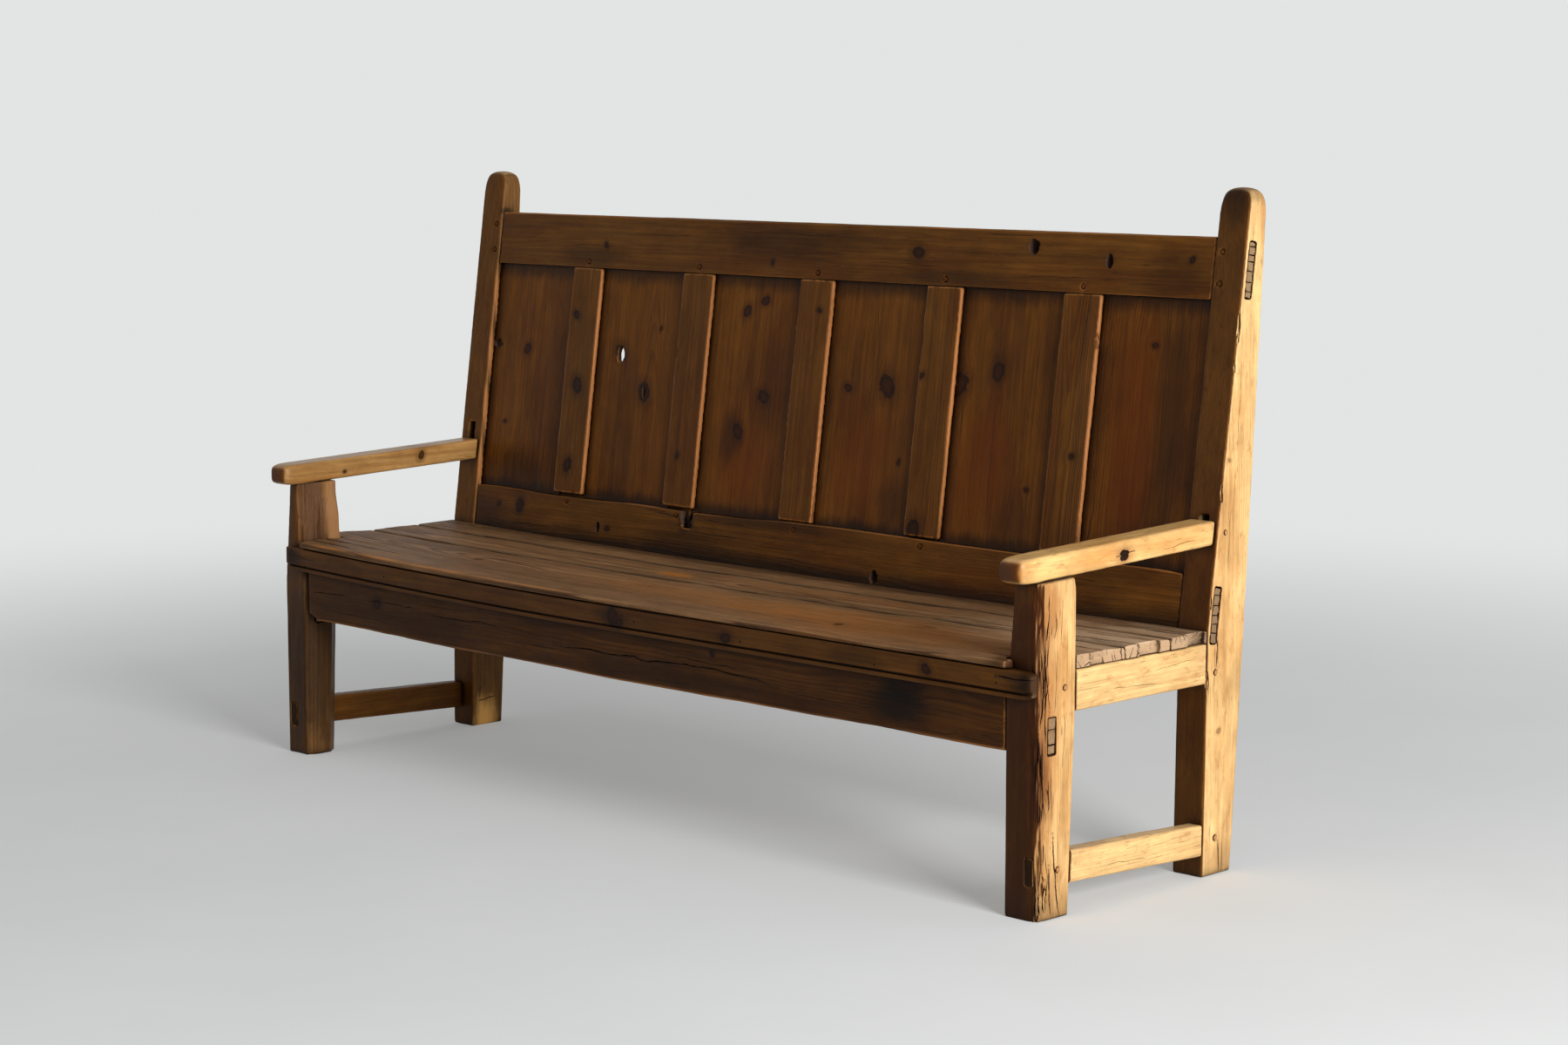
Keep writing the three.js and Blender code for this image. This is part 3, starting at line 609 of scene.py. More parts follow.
class Pine(Shader):
    """Sawn pine: rings around a pith outside the board, fibres, knots, stains, wax and dirt, with painted
    shade and highlights.
    """

    def __init__(self, name, look, seed, pith, bend, at, grain, face, knots, stains, fresh, aged_and_shaded, lines):
        super().__init__(name)
        self.look = LOOKS[look]
        self.seed = seed
        self.pith = pith
        self.bend = bend
        self.at = at
        self.grain = grain
        self.turn = grain_frame(grain, face)
        self.aged_and_shaded = aged_and_shaded
        self.lines = lines
        inputs = {"Vector": self.place, "Location": at, "Rotation": self.turn.to_euler()}
        self.local = self.node("Mapping", inputs, vector_type="TEXTURE")
        self.normal = self.node("TexCoord", output="Normal")
        shift = tuple(seed * share for share in SEED_SHIFTS)
        self.shifted = self.vector("ADD", self.local, shift)
        self.knots = [self.knot(index, *knot) for index, knot in enumerate(knots)]
        self.ring = self.rings()
        self.fibres()
        self.tint = self.sawn_colour()
        for stain in stains:
            self.stain(*stain)
        self.colour_knots()
        self.age()
        # Marks laid over the wax, painted highlights and shade among them.
        for stain in fresh:
            self.stain(*stain)
        self.finish()

    def grained(self, along, across, detail=2, roughness=0.5):
        """Noise drawn out along the grain; along and across say how fine it is."""
        coords = self.vector("MULTIPLY", self.shifted, (along, across, across))
        return self.noise(coords, 1, detail, roughness)

    def offset(self, place):
        """How far each point lies from a place, along and across the grain and out of the face."""
        return self.vector("SUBTRACT", self.local, self.turn.transposed() @ (place - self.at))

    def knot(self, index, place, size, share=1.0):
        """How far each point lies from a tilted oval knot, in knot radii, and how far beside it."""
        tilt = self.seed * 1.7 + index * 2.4
        offset = self.offset(place)
        long = self.vector("DOT_PRODUCT", offset, (math.cos(tilt), math.sin(tilt), 0))
        short = self.vector("DOT_PRODUCT", offset, (-math.sin(tilt), math.cos(tilt), 0))
        wobble = self.centred(self.noise(self.shifted, 110))
        far = self.fit(wobble, size * 0.45, self.distance(self.times(long, 0.74), short))
        return self.math("DIVIDE", far, size / 2), self.parts(offset)[1], share

    def rings(self):
        """Growth rings, dark and narrow at the end of each year, pushed aside by the knots."""
        _, across, out = self.parts(self.local)
        for near, beside, _ in self.knots:
            fall = self.math("EXPONENT", self.times(self.squared(near), -0.14))
            pushed = self.times(self.times(beside, fall), 0.8)
            across = self.math("SUBTRACT", across, pushed)
        across = self.math("SUBTRACT", across, self.pith[0])
        out = self.fit(self.centred(self.grained(1.3, 3)), self.bend, out)
        out = self.math("ADD", out, self.pith[1])
        quick = self.centred(self.grained(9, 26))
        years = self.fit(quick, RING_WOBBLE, self.distance(out, across))
        years = self.math("DIVIDE", years, self.look["rings"])
        wide = self.noise(self.node("CombineXYZ", {0: years, 1: self.seed}), 0.4, 1)
        year = self.math("FRACT", self.fit(wide, 2.4, years))
        return self.times(self.ramp(year, 0.2, 0.85), self.ramp(year, 1.0, 0.88))

    def fibres(self):
        self.fibre = self.grained(14, 620, 3, 0.6)
        self.streak = self.grained(3, 85, 3, 0.55)
        self.vein = self.grained(4, 190)
        self.speck = self.ramp(self.grained(34, 420, 1), 0.68, 0.76)
        self.check = self.ramp(self.grained(5, 240, 1), 0.70, 0.76)
        self.patch = self.grained(3, 9, 4, 0.62)
        self.mottle = self.grained(14, 30, 5, 0.68)
        self.ragged = self.grained(10, 30, 4, 0.65)

    def shade(self, tint, value, share, base):
        """Lightens or darkens the tint by a noise value."""
        return self.node("HueSaturation", {"Value": self.fit(value, share, base), "Color": tint})

    def sawn_colour(self):
        """The colour of the bare wood, with greyer ends whose pores are full of dirt."""
        look = self.look
        calm = 1 - look.get("calm", 0) * (1 - self.aged_and_shaded)
        contrast = look["contrast"] * self.lines * calm
        strong = self.ramp(self.grained(2, 7, 1), 0.3, 0.7)
        line = self.fit(strong, contrast * 0.7, contrast * 0.5)
        tint = self.mix(self.times(self.ring, line), look["early"], look["late"])
        blotch = self.times(self.ramp(self.patch, 0.42, 0.72), 0.75)
        tint = self.mix(blotch, tint, look["patch"])
        tint = self.shade(tint, self.streak, 0.6 * calm, 1 - 0.3 * calm)
        tint = self.shade(tint, self.vein, 1.0 * calm, 1 - 0.5 * calm)
        tint = self.shade(tint, self.fibre, 0.6, 0.7)
        scuffs = self.ramp(self.grained(24, 50, 5, 0.7), 0.54, 0.68)
        scuffs = self.times(scuffs, look.get("scuffs", 0) * (1 - self.aged_and_shaded))
        tint = self.mix(scuffs, tint, WANE_BROWN)
        tint = self.mix(self.times(self.speck, 0.45), tint, SMOKE)
        tint = self.mix(self.times(self.check, 0.5 * calm), tint, GRIME)
        end_on = self.math("ABSOLUTE", self.vector("DOT_PRODUCT", self.normal, self.grain))
        self.end_mask = self.ramp(end_on, 0.72, 0.95)
        end_tint = self.mix(self.times(self.ring, 0.4), look["end"], look["late"])
        pores = self.times(self.ramp(self.mottle, 0.5, 0.75), 0.7)
        end_tint = self.mix(pores, end_tint, SMOKE)
        tint = self.mix(self.times(self.end_mask, 0.85), tint, end_tint)
        return self.shade(tint, self.mottle, 0.9, 0.55)

    def stain(self, place, reach, tint, share):
        """A ragged blot, for stains and for painted light and shade; reach is its half length along the
        grain, half width and, if given, depth.
        """
        offset = self.vector("DIVIDE", self.offset(place), (*reach, 1.0)[:3])
        away = self.fit(self.ragged, 1.1, self.vector("LENGTH", offset))
        self.tint = self.mix(self.times(self.ramp(away, 1.7, 0.8), share), self.tint, tint)

    def colour_knots(self):
        """Knots are dark and dense, with a black rim, a browner heart and a dark halo."""
        for near, _, share in self.knots:
            inner = self.times(self.ramp(near, 0.25, 0.7), self.mottle)
            heart = self.mix(inner, KNOT_HEART, KNOT_RIM)
            halo = self.times(self.ramp(near, 2.8, 1.0), 0.5 * share)
            body = self.times(self.ramp(near, 1.15, 0.9), 0.9 * share)
            rim = self.times(self.ramp(near, 0.65, 0.92), self.ramp(near, 1.3, 1.02))
            self.tint = self.mix(halo, self.tint, KNOT_HEART)
            self.tint = self.mix(body, self.tint, heart)
            self.tint = self.mix(self.times(rim, 0.6 * share), self.tint, GRIME)

    def age(self):
        """Dark wax with painted shade on the faces it darkens, rubbed edges, painted shade in corners that
        also stands for dirt, and dirt along cracks and at the feet.
        """
        look = self.look
        # Faces turned to the front or back, and by a share all but the end grain, are darkened: dark wax
        # with painted shade.
        shaded = self.ramp(self.math("ABSOLUTE", self.parts(self.normal)[1]), 0.35, 0.8)
        shaded = self.times(shaded, look.get("wax", 1.0))
        shaded = self.math("MAXIMUM", shaded, self.times(self.rest(self.end_mask), self.aged_and_shaded))
        waxed_and_shaded = self.mix(1.0, self.tint, look.get("wax_and_shade", WAX_AND_PAINTED_SHADE), "MULTIPLY")
        tint = self.mix(shaded, self.tint, waxed_and_shaded)
        uneven = self.fit(self.mottle, 1.0, 0.4)
        # Painted shade in corners and recesses, from ambient occlusion, which also stands for dirt there.
        closed = self.node("AmbientOcclusion", {"Distance": CORNER_REACH}, "AO", samples=6)
        dirt = self.times(self.ramp(closed, 0.92, 0.4), look["corner_shade_and_dirt"])
        dirt = self.times(dirt, uneven, clamp=True)
        soiled = self.node("Attribute", output="Fac", attribute_name="soil")
        soiled = self.times(soiled, uneven, clamp=True)
        dirt = self.math("MAXIMUM", dirt, self.times(soiled, 0.85))
        low = self.ramp(self.parts(self.place)[2], FOOT_DIRT_TOP, 0)
        footed = self.times(low, self.ramp(self.patch, 0.3, 0.6))
        dirt = self.math("MAXIMUM", dirt, self.times(footed, 0.4))
        wear = self.node("Attribute", output="Fac", attribute_name="wear")
        rubbed = self.times(self.ramp(wear, 0.2, 0.8), self.ramp(self.streak, 0.3, 0.6))
        rubbed = self.times(rubbed, self.rest(dirt))
        self.rubbed = self.times(rubbed, self.rest(self.end_mask))
        # Rubbed edges are lighter from wear; on the darkened faces their colour is also a painted highlight.
        edge = self.mix(shaded, PALE_EDGE, AGED_EDGE_AND_HIGHLIGHT)
        tint = self.mix(self.times(self.rubbed, 0.55), tint, edge)
        self.tint = self.mix(dirt, tint, GRIME)

    def finish(self):
        """Gives the surface its colour, an uneven gloss and a fine relief."""
        look = self.look
        gloss = self.fit(self.grained(12, 30), 0.24, look["rough"] - 0.12)
        gloss = self.fit(self.rubbed, -0.1, gloss)
        gloss = self.fit(self.end_mask, 0.25, gloss, clamp=True)
        height = self.times(self.ring, 0.4 * self.lines)
        grit = self.noise(self.shifted, 55)
        layers = ((self.fibre, 0.5), (grit, 1.0), (self.mottle, 0.8), (self.speck, -0.6), (self.check, -1.5))
        for layer, share in layers:
            height = self.fit(layer, share, height)
        relief = {"Height": height, "Strength": look["relief"], "Distance": RELIEF_HEIGHT}
        self.give({
            "Base Color": self.tint,
            "Roughness": gloss,
            "Specular IOR Level": look.get("sheen", SHEEN),
            "Normal": self.node("Bump", relief),
        })


def dark_hollow():
    """The inside of cracks and holes: old dirt with a little fibre."""
    shader = Shader("hollow")
    grit = shader.noise(shader.place, 300, 3)
    shader.give({
        "Base Color": shader.mix(grit, HOLLOW_DARK, HOLLOW_PALE),
        "Roughness": shader.fit(grit, 0.2, 0.7),
        "Normal": shader.node("Bump", {"Height": grit, "Strength": 0.5, "Distance": RELIEF_HEIGHT}),
    })
    return shader.material


HOLLOW = dark_hollow()

# Members

# Look, seed, pith beside and behind the middle, bend of the rings and mesh cell, in millimetres
WOODS = {
    "top_rail": ("frame", 11, (15, 70), 30, 2.5),
    "lower_rail": ("frame", 12, (-30, 60), 35, 2.5),
    "rear_post_right": ("frame_with_painted_shade", 51, (50, 120), 30, 2.2),
    "rear_post_left": ("frame", 52, (-40, 110), 30, 2.2),
    "front_post_right": ("frame", 53, (30, 60), 20, 1.6),
    "front_post_left": ("frame", 54, (20, 70), 20, 1.8),
    "arm_right": ("arm", 55, (20, 100), 20, 1.8),
    "arm_left": ("arm", 56, (20, 100), 20, 1.8),
    "side_rail_left": ("frame", 57, (30, 100), 20, 2),
    "side_rail_right": ("frame", 58, (30, 100), 20, 2),
    "side_stretcher_left": ("frame", 59, (50, 80), 20, 2),
    "side_stretcher_right": ("frame", 60, (50, 80), 20, 2),
    "seat_bearer_left": ("frame", 47, (20, 90), 20, 3),
    "seat_bearer_right": ("frame", 48, (20, 90), 20, 3),
    "seat_board_front": ("seat", 35, (40, 50), 50, 2.2),
    "seat_board_middle": ("seat", 55, (-20, 60), 50, 2.2),
    "seat_board_rear": ("seat", 75, (30, 50), 50, 2.2),
    "front_apron": ("apron", 61, (20, 60), 40, 2.5),
    "front_fascia": ("frame", 62, (10, 80), 30, 1.3),
}
MUNTINS = 5
PANELS = MUNTINS + 1
for number in range(1, MUNTINS):
    WOODS[f"muntin_{number}"] = ("frame", 20 + number, (30 * (-1) ** number, 100), 20, 2.5)
WOODS[f"muntin_{MUNTINS}"] = ("frame", 20 + MUNTINS, (10, 30), 20, 2.5)
for number in range(1, PANELS + 1):
    WOODS[f"back_panel_{number}"] = ("panel", 30 + number, (50 * math.sin(number * 2.1), 45), 50, 3)
for index, node in enumerate(sorted(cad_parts)):
    if node.startswith("peg_"):
        WOODS[node] = ("peg", 70 + index, (2, 4), 10, 0.9)


def middle_of(node):
    low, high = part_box(node)
    return (low + high) / 2


# One argument sets how much dark wax and painted shade also falls on faces that don't face the front or
# back.
def dress(node, grain, face, rounds=5, uneven=1.0, waves=FACE_WAVES, knots=(), stains=(), fresh=(),
          breaks=(), cracks=(), seams=(), shape=None, soft=None, scars=None, aged_and_shaded=1.0, lines=1.0):
    """Builds the worn member that stands for a solid, with its own piece of pine."""
    look, seed, pith, bend, cell = WOODS[node]
    piece = copy_of(node, node + "_worn")
    remesh(piece, cell * MM)
    weather(piece, rounds, uneven, waves, seed, shape, soft, scars)
    soil(piece, cracks, seams)
    wood = Pine(node + "_wood", look, seed, scaled(*pith), bend * MM, middle_of(node), grain, face,
                knots, stains, fresh, aged_and_shaded, lines)
    piece.data.materials.clear()
    piece.data.materials.append(wood.material)
    piece.data.materials.append(HOLLOW)
    carve(piece, [*breaks, *cracks])
    piece.data.shade_smooth()
    piece.data.set_sharp_from_angle(angle=SHARP_ANGLE)
    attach(piece, "root")
    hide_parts(node)


def split(path, into, width, depth, seed, **more):
    """A crack whose width and depth are given in millimetres."""
    return crack(path, into, width * MM, depth * MM, seed, **more)


def splits_at(rows, seed, into, place=spot, step=3, **more):
    """Splits, each given by its path, its width and its depth."""
    return [
        split([place(*at) for at in path], into, width, depth, seed + step * index, **more)
        for index, (path, width, depth) in enumerate(rows)
    ]


def holes_at(rows, seed, into, place=spot, **more):
    """Knot-holes, nail holes and shallow chips, each given by its place and its three sizes."""
    return [
        hole(place(*at), into, *scaled(*size), seed + index, **more)
        for index, (at, size) in enumerate(rows)
    ]


def bites_at(rows, seed, rough, place=spot, inner=BARE):
    """Broken corners, each given by its place and its three sizes."""
    return [
        bite(place(*at), scaled(*size), seed + index, rough, inner)
        for index, (at, size) in enumerate(rows)
    ]


def knots_at(rows, place=spot):
    """Knots, each given by its place, its size and, if it is faint, its share."""
    return [(place(*at), size * MM, *share) for at, size, *share in rows]


def stains_at(rows, place=spot):
    """Stains, and the painted shade and highlights laid the same way, each given by its place, its reach,
    its colour and its share.
    """
    return [(place(*at), scaled(*reach), tint, share) for at, reach, tint, share in rows]


# The back; places are x and height in millimetres

TENON_SLIT = 2.4
TENON_SLIT_DEPTH = 9
TENON_REACH = 12 * MM
TENON_RECESS = 1.6 * MM
TENON_RIM = 1.1 * MM
TENON_GRAIN = 9 * MM
TENON_WANDER = 1 * MM
TENON_SPLIT_SHARES = {
    "top_rail": (-0.72, -0.42, -0.05, 0.28, 0.5, 0.8),
    "lower_rail": (-0.62, -0.3, 0.02, 0.36, 0.7),
    "front_apron": (-0.47, -0.4, 0.34),
}
TOP_RAIL_HOLES = [((520, 1038), (27, 30, 24)), ((691, 1019), (19, 28, 24))]
TOP_RAIL_KNOTS = [((248, 1019), 19), ((-590, 1008), 9), ((-120, 990), 8), ((868, 1026), 9)]
TOP_RAIL_CHIPS = [((-652, 1071), (26, 12, 9))]
TOP_RAIL_SPLITS = [
    ([(-700, 1005), (-560, 1007)], 0.9, 4),
    ([(-540, 1030), (-330, 1034)], 0.9, 4),
    ([(120, 1000), (330, 996)], 0.8, 4),
    ([(480, 985), (640, 988)], 0.8, 4),
    ([(-240, 1046), (60, 1043)], 0.8, 4),
]
TOP_RAIL_STAINS = [
    ((-60, 1030), (260, 45), SMOKE, 0.55),
    ((-620, 985), (120, 30), SMOKE, 0.5),
    ((330, 975), (220, 22), SMOKE, 0.5),
    ((840, 1000), (90, 60), SMOKE, 0.4),
    ((985, 1010), (40, 120), TENON_GREY, 0.75),
]
LOWER_RAIL_HOLES = [((-539, 452), (15, 24, 24)), ((215, 430), (22, 28, 24))]
LOWER_RAIL_KNOTS = [((-778, 476), 20), ((-843, 474), 8), ((-511, 452), 10), ((640, 470), 14)]
LOWER_RAIL_NOTCH = [((-290, 500), (34, 30, 44))]
LOWER_RAIL_SPLITS = [
    ([(-250, 497), (-120, 492)], 1.2, 5),
    ([(-60, 440), (160, 436)], 1.0, 4),
    ([(560, 480), (760, 474)], 1.0, 4),
    ([(-820, 440), (-640, 444)], 0.9, 4),
    ([(-376, 497), (-306, 493)], 1.6, 6),
]
LOWER_RAIL_STAINS_AND_SHADE = [
    ((-290, 488), (26, 26), GRIME, 0.8),
    ((-880, 452), (70, 60), SMOKE, 0.5),
    # Painted shade along the rail's foot, where it meets the seat.
    ((0, 414), (2600, 34), GRIME, 0.75),
    ((-300, 440), (160, 40), SMOKE, 0.6),
    ((-60, 500), (300, 14), SMOKE, 0.5),
    ((520, 450), (260, 45), HEARTWOOD, 0.3),
    ((985, 440), (40, 140), TENON_GREY, 0.9),
]
LOWER_RAIL_TOP = 506
RAIL_SAG = 7 * MM
RAIL_SAG_LENGTH = 140 * MM
RAIL_EDGE = 22 * MM
MUNTIN_KNOTS = {
    1: [((-660, 867), 13), ((-638, 728), 22), ((-646, 567), 20)],
    2: [((-330, 610), 9)],
    3: [((14, 905), 9)],
    4: [((300, 524), 26), ((285, 800), 9)],
    5: [((650, 682), 9)],
}
MUNTIN_SPLITS = {
    1: [([(-646, 590), (-644, 520)], 0.9, 4)],
    2: [([(-342, 960), (-340, 850)], 0.8, 4)],
    3: [([(6, 640), (10, 530)], 0.9, 4)],
    4: [([(306, 985), (303, 900)], 1.2, 5), ([(330, 640), (327, 520)], 0.9, 4)],
    5: [
        ([(655, 955), (650, 880), (644, 800)], 1.8, 8),
        ([(628, 980), (626, 760)], 0.9, 4),
        ([(620, 560), (622, 760)], 0.9, 4),
        ([(664, 800), (660, 640)], 0.9, 4),
    ],
}
MUNTIN_NICKS = {
    2: [((-362, 808), (10, 12, 22))],
    4: [((276, 860), (9, 12, 30))],
    5: [((680, 884), (10, 14, 34))],
}
MUNTIN_LINES = {5: 2.2}
MUNTIN_MIDDLE = 735
MUNTIN_EDGE_REACH = (330, 7, 11)
NOTCHED_TENON = {2: [((-300, 482), (30, 60), GRIME, 1.0)]}
PANEL_KNOTS = {
    1: [((-810, 791), 16), ((-860, 640), 7)],
    2: [((-529, 797), 24), ((-452, 724), 28), ((-420, 850), 7)],
    3: [((-185, 894), 17), ((-138, 916), 15), ((-121, 736), 20), ((-181, 666), 22)],
    4: [((98, 766), 13), ((194, 775), 30), ((240, 640), 8)],
    5: [((457, 816), 23), ((366, 788), 34), ((547, 615), 8)],
    6: [((800, 880), 9)],
}
PANEL_SPLITS = {
    1: [([(-868, 560), (-872, 640)], 0.9, 4)],
    2: [([(-440, 560), (-436, 640)], 0.9, 4)],
    3: [([(-158, 830), (-168, 960)], 1.0, 5), ([(-150, 560), (-140, 760)], 0.9, 4)],
    4: [([(150, 545), (158, 960)], 1.0, 4)],
    5: [([(462, 530), (455, 950)], 1.2, 5), ([(420, 540), (416, 700)], 0.9, 4)],
    6: [([(694, 520), (702, 640)], 1.8, 7), ([(735, 520), (730, 610)], 0.9, 4)],
}
PANEL_STAINS = {
    1: [((-800, 540), (60, 110), SMOKE, 0.6)],
    2: [((-500, 600), (160, 70), SMOKE, 0.3)],
    3: [((-160, 610), (110, 90), HEARTWOOD, 0.45), ((-200, 650), (60, 40), SMOKE, 0.6)],
    4: [
        ((160, 735), (330, 170), SMOKE, 0.2),
        ((150, 640), (140, 90), HEARTWOOD, 0.4),
        ((230, 560), (60, 50), SMOKE, 0.5),
    ],
    5: [
        ((480, 735), (330, 170), SMOKE, 0.3),
        ((440, 640), (150, 90), HEARTWOOD, 0.45),
        ((520, 560), (60, 60), SMOKE, 0.4),
    ],
    6: [
        ((800, 735), (330, 170), SMOKE, 0.4),
        ((770, 730), (260, 60), HEARTWOOD, 0.5),
        ((850, 760), (300, 40), SMOKE, 0.5),
    ],
}
PANEL_HOLLOWS = {
    1: [((-905, 798), (30, 20, 9))],
    2: [((-452, 724), (13, 23, 8))],
    5: [((362, 792), (9, 12, 6))],
}
PANEL_LINES = {6: 1.8}
PANEL_EDGE_REACH = (500, 34)
PANEL_TOP_REACH = (30, 300)
PANEL_FOOT_REACH = (26, 300)


def tenon_splits(node, up, seed):
    """Cracks that run across the worn end of a through tenon, on both sides of the bench."""
    points = points_of(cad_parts[node].data)
    ends = points[points[:, 0] > HALF_LENGTH - MM]
    low, high = ends.min(axis=0), ends.max(axis=0)
    half = (high[2] - low[2]) / 2
    across = up.cross(ALONG_X) * TENON_REACH
    splits = []
    for index, share in enumerate(TENON_SPLIT_SHARES[node]):
        middle = Vector((low + high) / 2) + up * (half * share)
        for sign in (-1, 1):
            middle.x = sign * HALF_LENGTH
            path = [middle - across, middle + across]
            splits.append(split(path, ALONG_X * -sign, TENON_SLIT, TENON_SLIT_DEPTH,
                                seed + 5 * index + sign, wander=TENON_WANDER))
    return splits


def shrink_tenons(points):
    """Draws the ends of through tenons below the posts' outer faces and clear of their mortises."""
    reach = np.abs(points[:, 0])
    ends = points[reach > HALF_LENGTH - VOXEL * 2][:, 1:]
    middle = (ends.min(axis=0) + ends.max(axis=0)) / 2
    half = np.ptp(ends, axis=0) / 2
    near = towards(reach, HALF_LENGTH, (6 * VOXEL, 3 * VOXEL))
    points[:, 1:] -= (points[:, 1:] - middle) / half * near[:, None] * TENON_RIM
    recess = TENON_RECESS * (1 + 0.5 * noise(points, TENON_GRAIN, 91))
    shorter = REAR_POST_INNER + (reach - REAR_POST_INNER) * (1 - recess / (HALF_LENGTH - REAR_POST_INNER))
    points[:, 0] = np.where(reach > REAR_POST_INNER, np.sign(points[:, 0]) * shorter, points[:, 0])
    return points


def sagging_top(points):
    """Wears the lower rail's top edge down in places between the muntins."""
    points = shrink_tenons(points)
    top = points[:, 2].max()
    near = towards(points[:, 2], top, (RAIL_EDGE, 0))
    near *= points[:, 1] < on_back(0, top, RAIL_SET_BACK).y + RAIL_EDGE / 2
    dip = (1 + noise(points * (1, 0, 0), RAIL_SAG_LENGTH, 92)) / 2 * RAIL_SAG
    points[:, 2] -= near * dip * (np.abs(points[:, 0]) < REAR_POST_INNER)
    return points


def dress_rails():
    dress("top_rail", ALONG_X, OUT_OF_BACK, shape=shrink_tenons,
          knots=knots_at(TOP_RAIL_KNOTS, on_rails), stains=stains_at(TOP_RAIL_STAINS, on_rails),
          breaks=bites_at(TOP_RAIL_CHIPS, 103, 0.2, on_rails),
          cracks=[*holes_at(TOP_RAIL_HOLES, 101, INTO_BACK, on_rails, rough=0.16),
                  *splits_at(TOP_RAIL_SPLITS, 104, INTO_BACK, on_rails),
                  *tenon_splits("top_rail", UP_SLOPE, 130)])
    dress("lower_rail", ALONG_X, OUT_OF_BACK, shape=sagging_top,
          knots=knots_at(LOWER_RAIL_KNOTS, on_rails), stains=stains_at(LOWER_RAIL_STAINS_AND_SHADE, on_rails),
          cracks=[*bites_at(LOWER_RAIL_NOTCH, 113, 0.35, on_rails, HOLLOWED),
                  *holes_at(LOWER_RAIL_HOLES, 111, INTO_BACK, on_rails, rough=0.2),
                  *splits_at(LOWER_RAIL_SPLITS, 114, INTO_BACK, on_rails),
                  *tenon_splits("lower_rail", UP_SLOPE, 160)])


def muntin_edges(number):
    """A painted highlight along a muntin's right edge, where it catches the light, and the tenon that the
    rail's notch lays bare, darkened.
    """
    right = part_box(f"muntin_{number}")[1].x / MM
    edge = ((right, MUNTIN_MIDDLE), MUNTIN_EDGE_REACH, PAINTED_EDGE_HIGHLIGHT, 0.65)
    return stains_at([edge, *NOTCHED_TENON.get(number, [])], on_edges)


def dress_muntins():
    for number, knots in MUNTIN_KNOTS.items():
        dress(f"muntin_{number}", UP_SLOPE, OUT_OF_BACK, uneven=1.4, rounds=6,
              knots=knots_at(knots, on_rails), fresh=muntin_edges(number),
              breaks=bites_at(MUNTIN_NICKS.get(number, []), 170 + number, 0.3, on_rails),
              cracks=splits_at(MUNTIN_SPLITS[number], 180 + 20 * number, INTO_BACK, on_rails),
              lines=MUNTIN_LINES.get(number, 1.2))


def panel_painted_shade(number):
    """Painted shade along a panel's left edge and under the top rail, and painted shade with dirt where it
    meets the lower one.
    """
    low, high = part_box(f"back_panel_{number}")
    left, middle, height = low.x / MM, (low.x + high.x) / 2 / MM, (low.z + high.z) / 2 / MM
    return [
        ((left, height), PANEL_EDGE_REACH, GRIME, 0.6),
        ((middle, TOP_RAIL_FOOT / MM), PANEL_TOP_REACH, GRIME, 0.6),
        ((middle, LOWER_RAIL_TOP), PANEL_FOOT_REACH, GRIME, 0.75),
    ]


def dress_panels():
    for number, knots in PANEL_KNOTS.items():
        splits = splits_at(PANEL_SPLITS[number], 300 + 20 * number, INTO_BACK, on_panels)
        hollows = holes_at(PANEL_HOLLOWS.get(number, []), 172 + number, INTO_BACK, on_panels, rough=0.3)
        dress(f"back_panel_{number}", UP_SLOPE, OUT_OF_BACK, cracks=splits + hollows,
              knots=knots_at(knots, on_panels), lines=PANEL_LINES.get(number, 1.0),
              stains=stains_at(PANEL_STAINS[number] + panel_painted_shade(number), on_panels))


# The two ends; places on the outer sides are depth and height in millimetres

REAR_SIDE_SPLITS = [
    ([(187, 470), (189, 350)], 2.4, 10),
    ([(186, 392), (183, 300)], 1.2, 5),
    ([(201, 58), (203, 2)], 2.0, 7),
    ([(212, 60), (213, 4)], 1.2, 5),
]
BOTH_REAR_SIDE_SPLITS = [
    ([(216, 520), (222, 620)], 0.8, 4),
    ([(236, 700), (246, 860)], 0.8, 4),
    ([(228, 560), (232, 700)], 0.8, 4),
    ([(268, 1090), (262, 1000)], 0.8, 4),
]
REAR_KNOTS = [((198, 246), 8, 0.5), ((215, 700), 6, 0.5)]
REAR_TOP_SET_BACK = 44 * MM
REAR_TOP_SPLITS = [([(935, 1132), (938, 1085)], 1.4, 8), ([(947, 1120), (946, 1090)], 1.0, 6)]
FRONT_SIDE_SPLITS = [
    ([(-231, 140), (-222, 60), (-214, -4)], 2.6, 14),
    ([(-246, 470), (-250, 400), (-243, 330)], 1.5, 8),
    ([(-224, 420), (-230, 330)], 1.0, 6),
    ([(-237, 250), (-232, 150)], 1.2, 6),
    ([(-215, 180), (-216, 90)], 1.0, 5),
    ([(-212, 520), (-215, 440)], 1.2, 6),
    ([(-205, 330), (-208, 240)], 0.9, 5),
    ([(-240, 90), (-236, 4)], 2.0, 9),
]
WANE_SPLITS = [
    ([(974, -262, 310), (971, -264, 200)], 2.2, 10),
    ([(979, -255, 270), (978, -258, 150)], 2.2, 10),
    ([(973, -263, 80), (971, -264, 2)], 2.0, 8),
    ([(979, -256, 480), (980, -252, 380)], 1.6, 8),
]
WANE_SPLIT_WANDER = 3.5 * MM
WANE_CHECKS = 26
WANE_CHECK_LENGTHS = (30, 110)
WANE_CHECK_WIDTHS = (0.5, 1.3)
WANE_CHECK_LEANS = (-3, 3)
WANE_CHECK_WANDER = 3 * MM
WANE_PROUD = 12 * MM
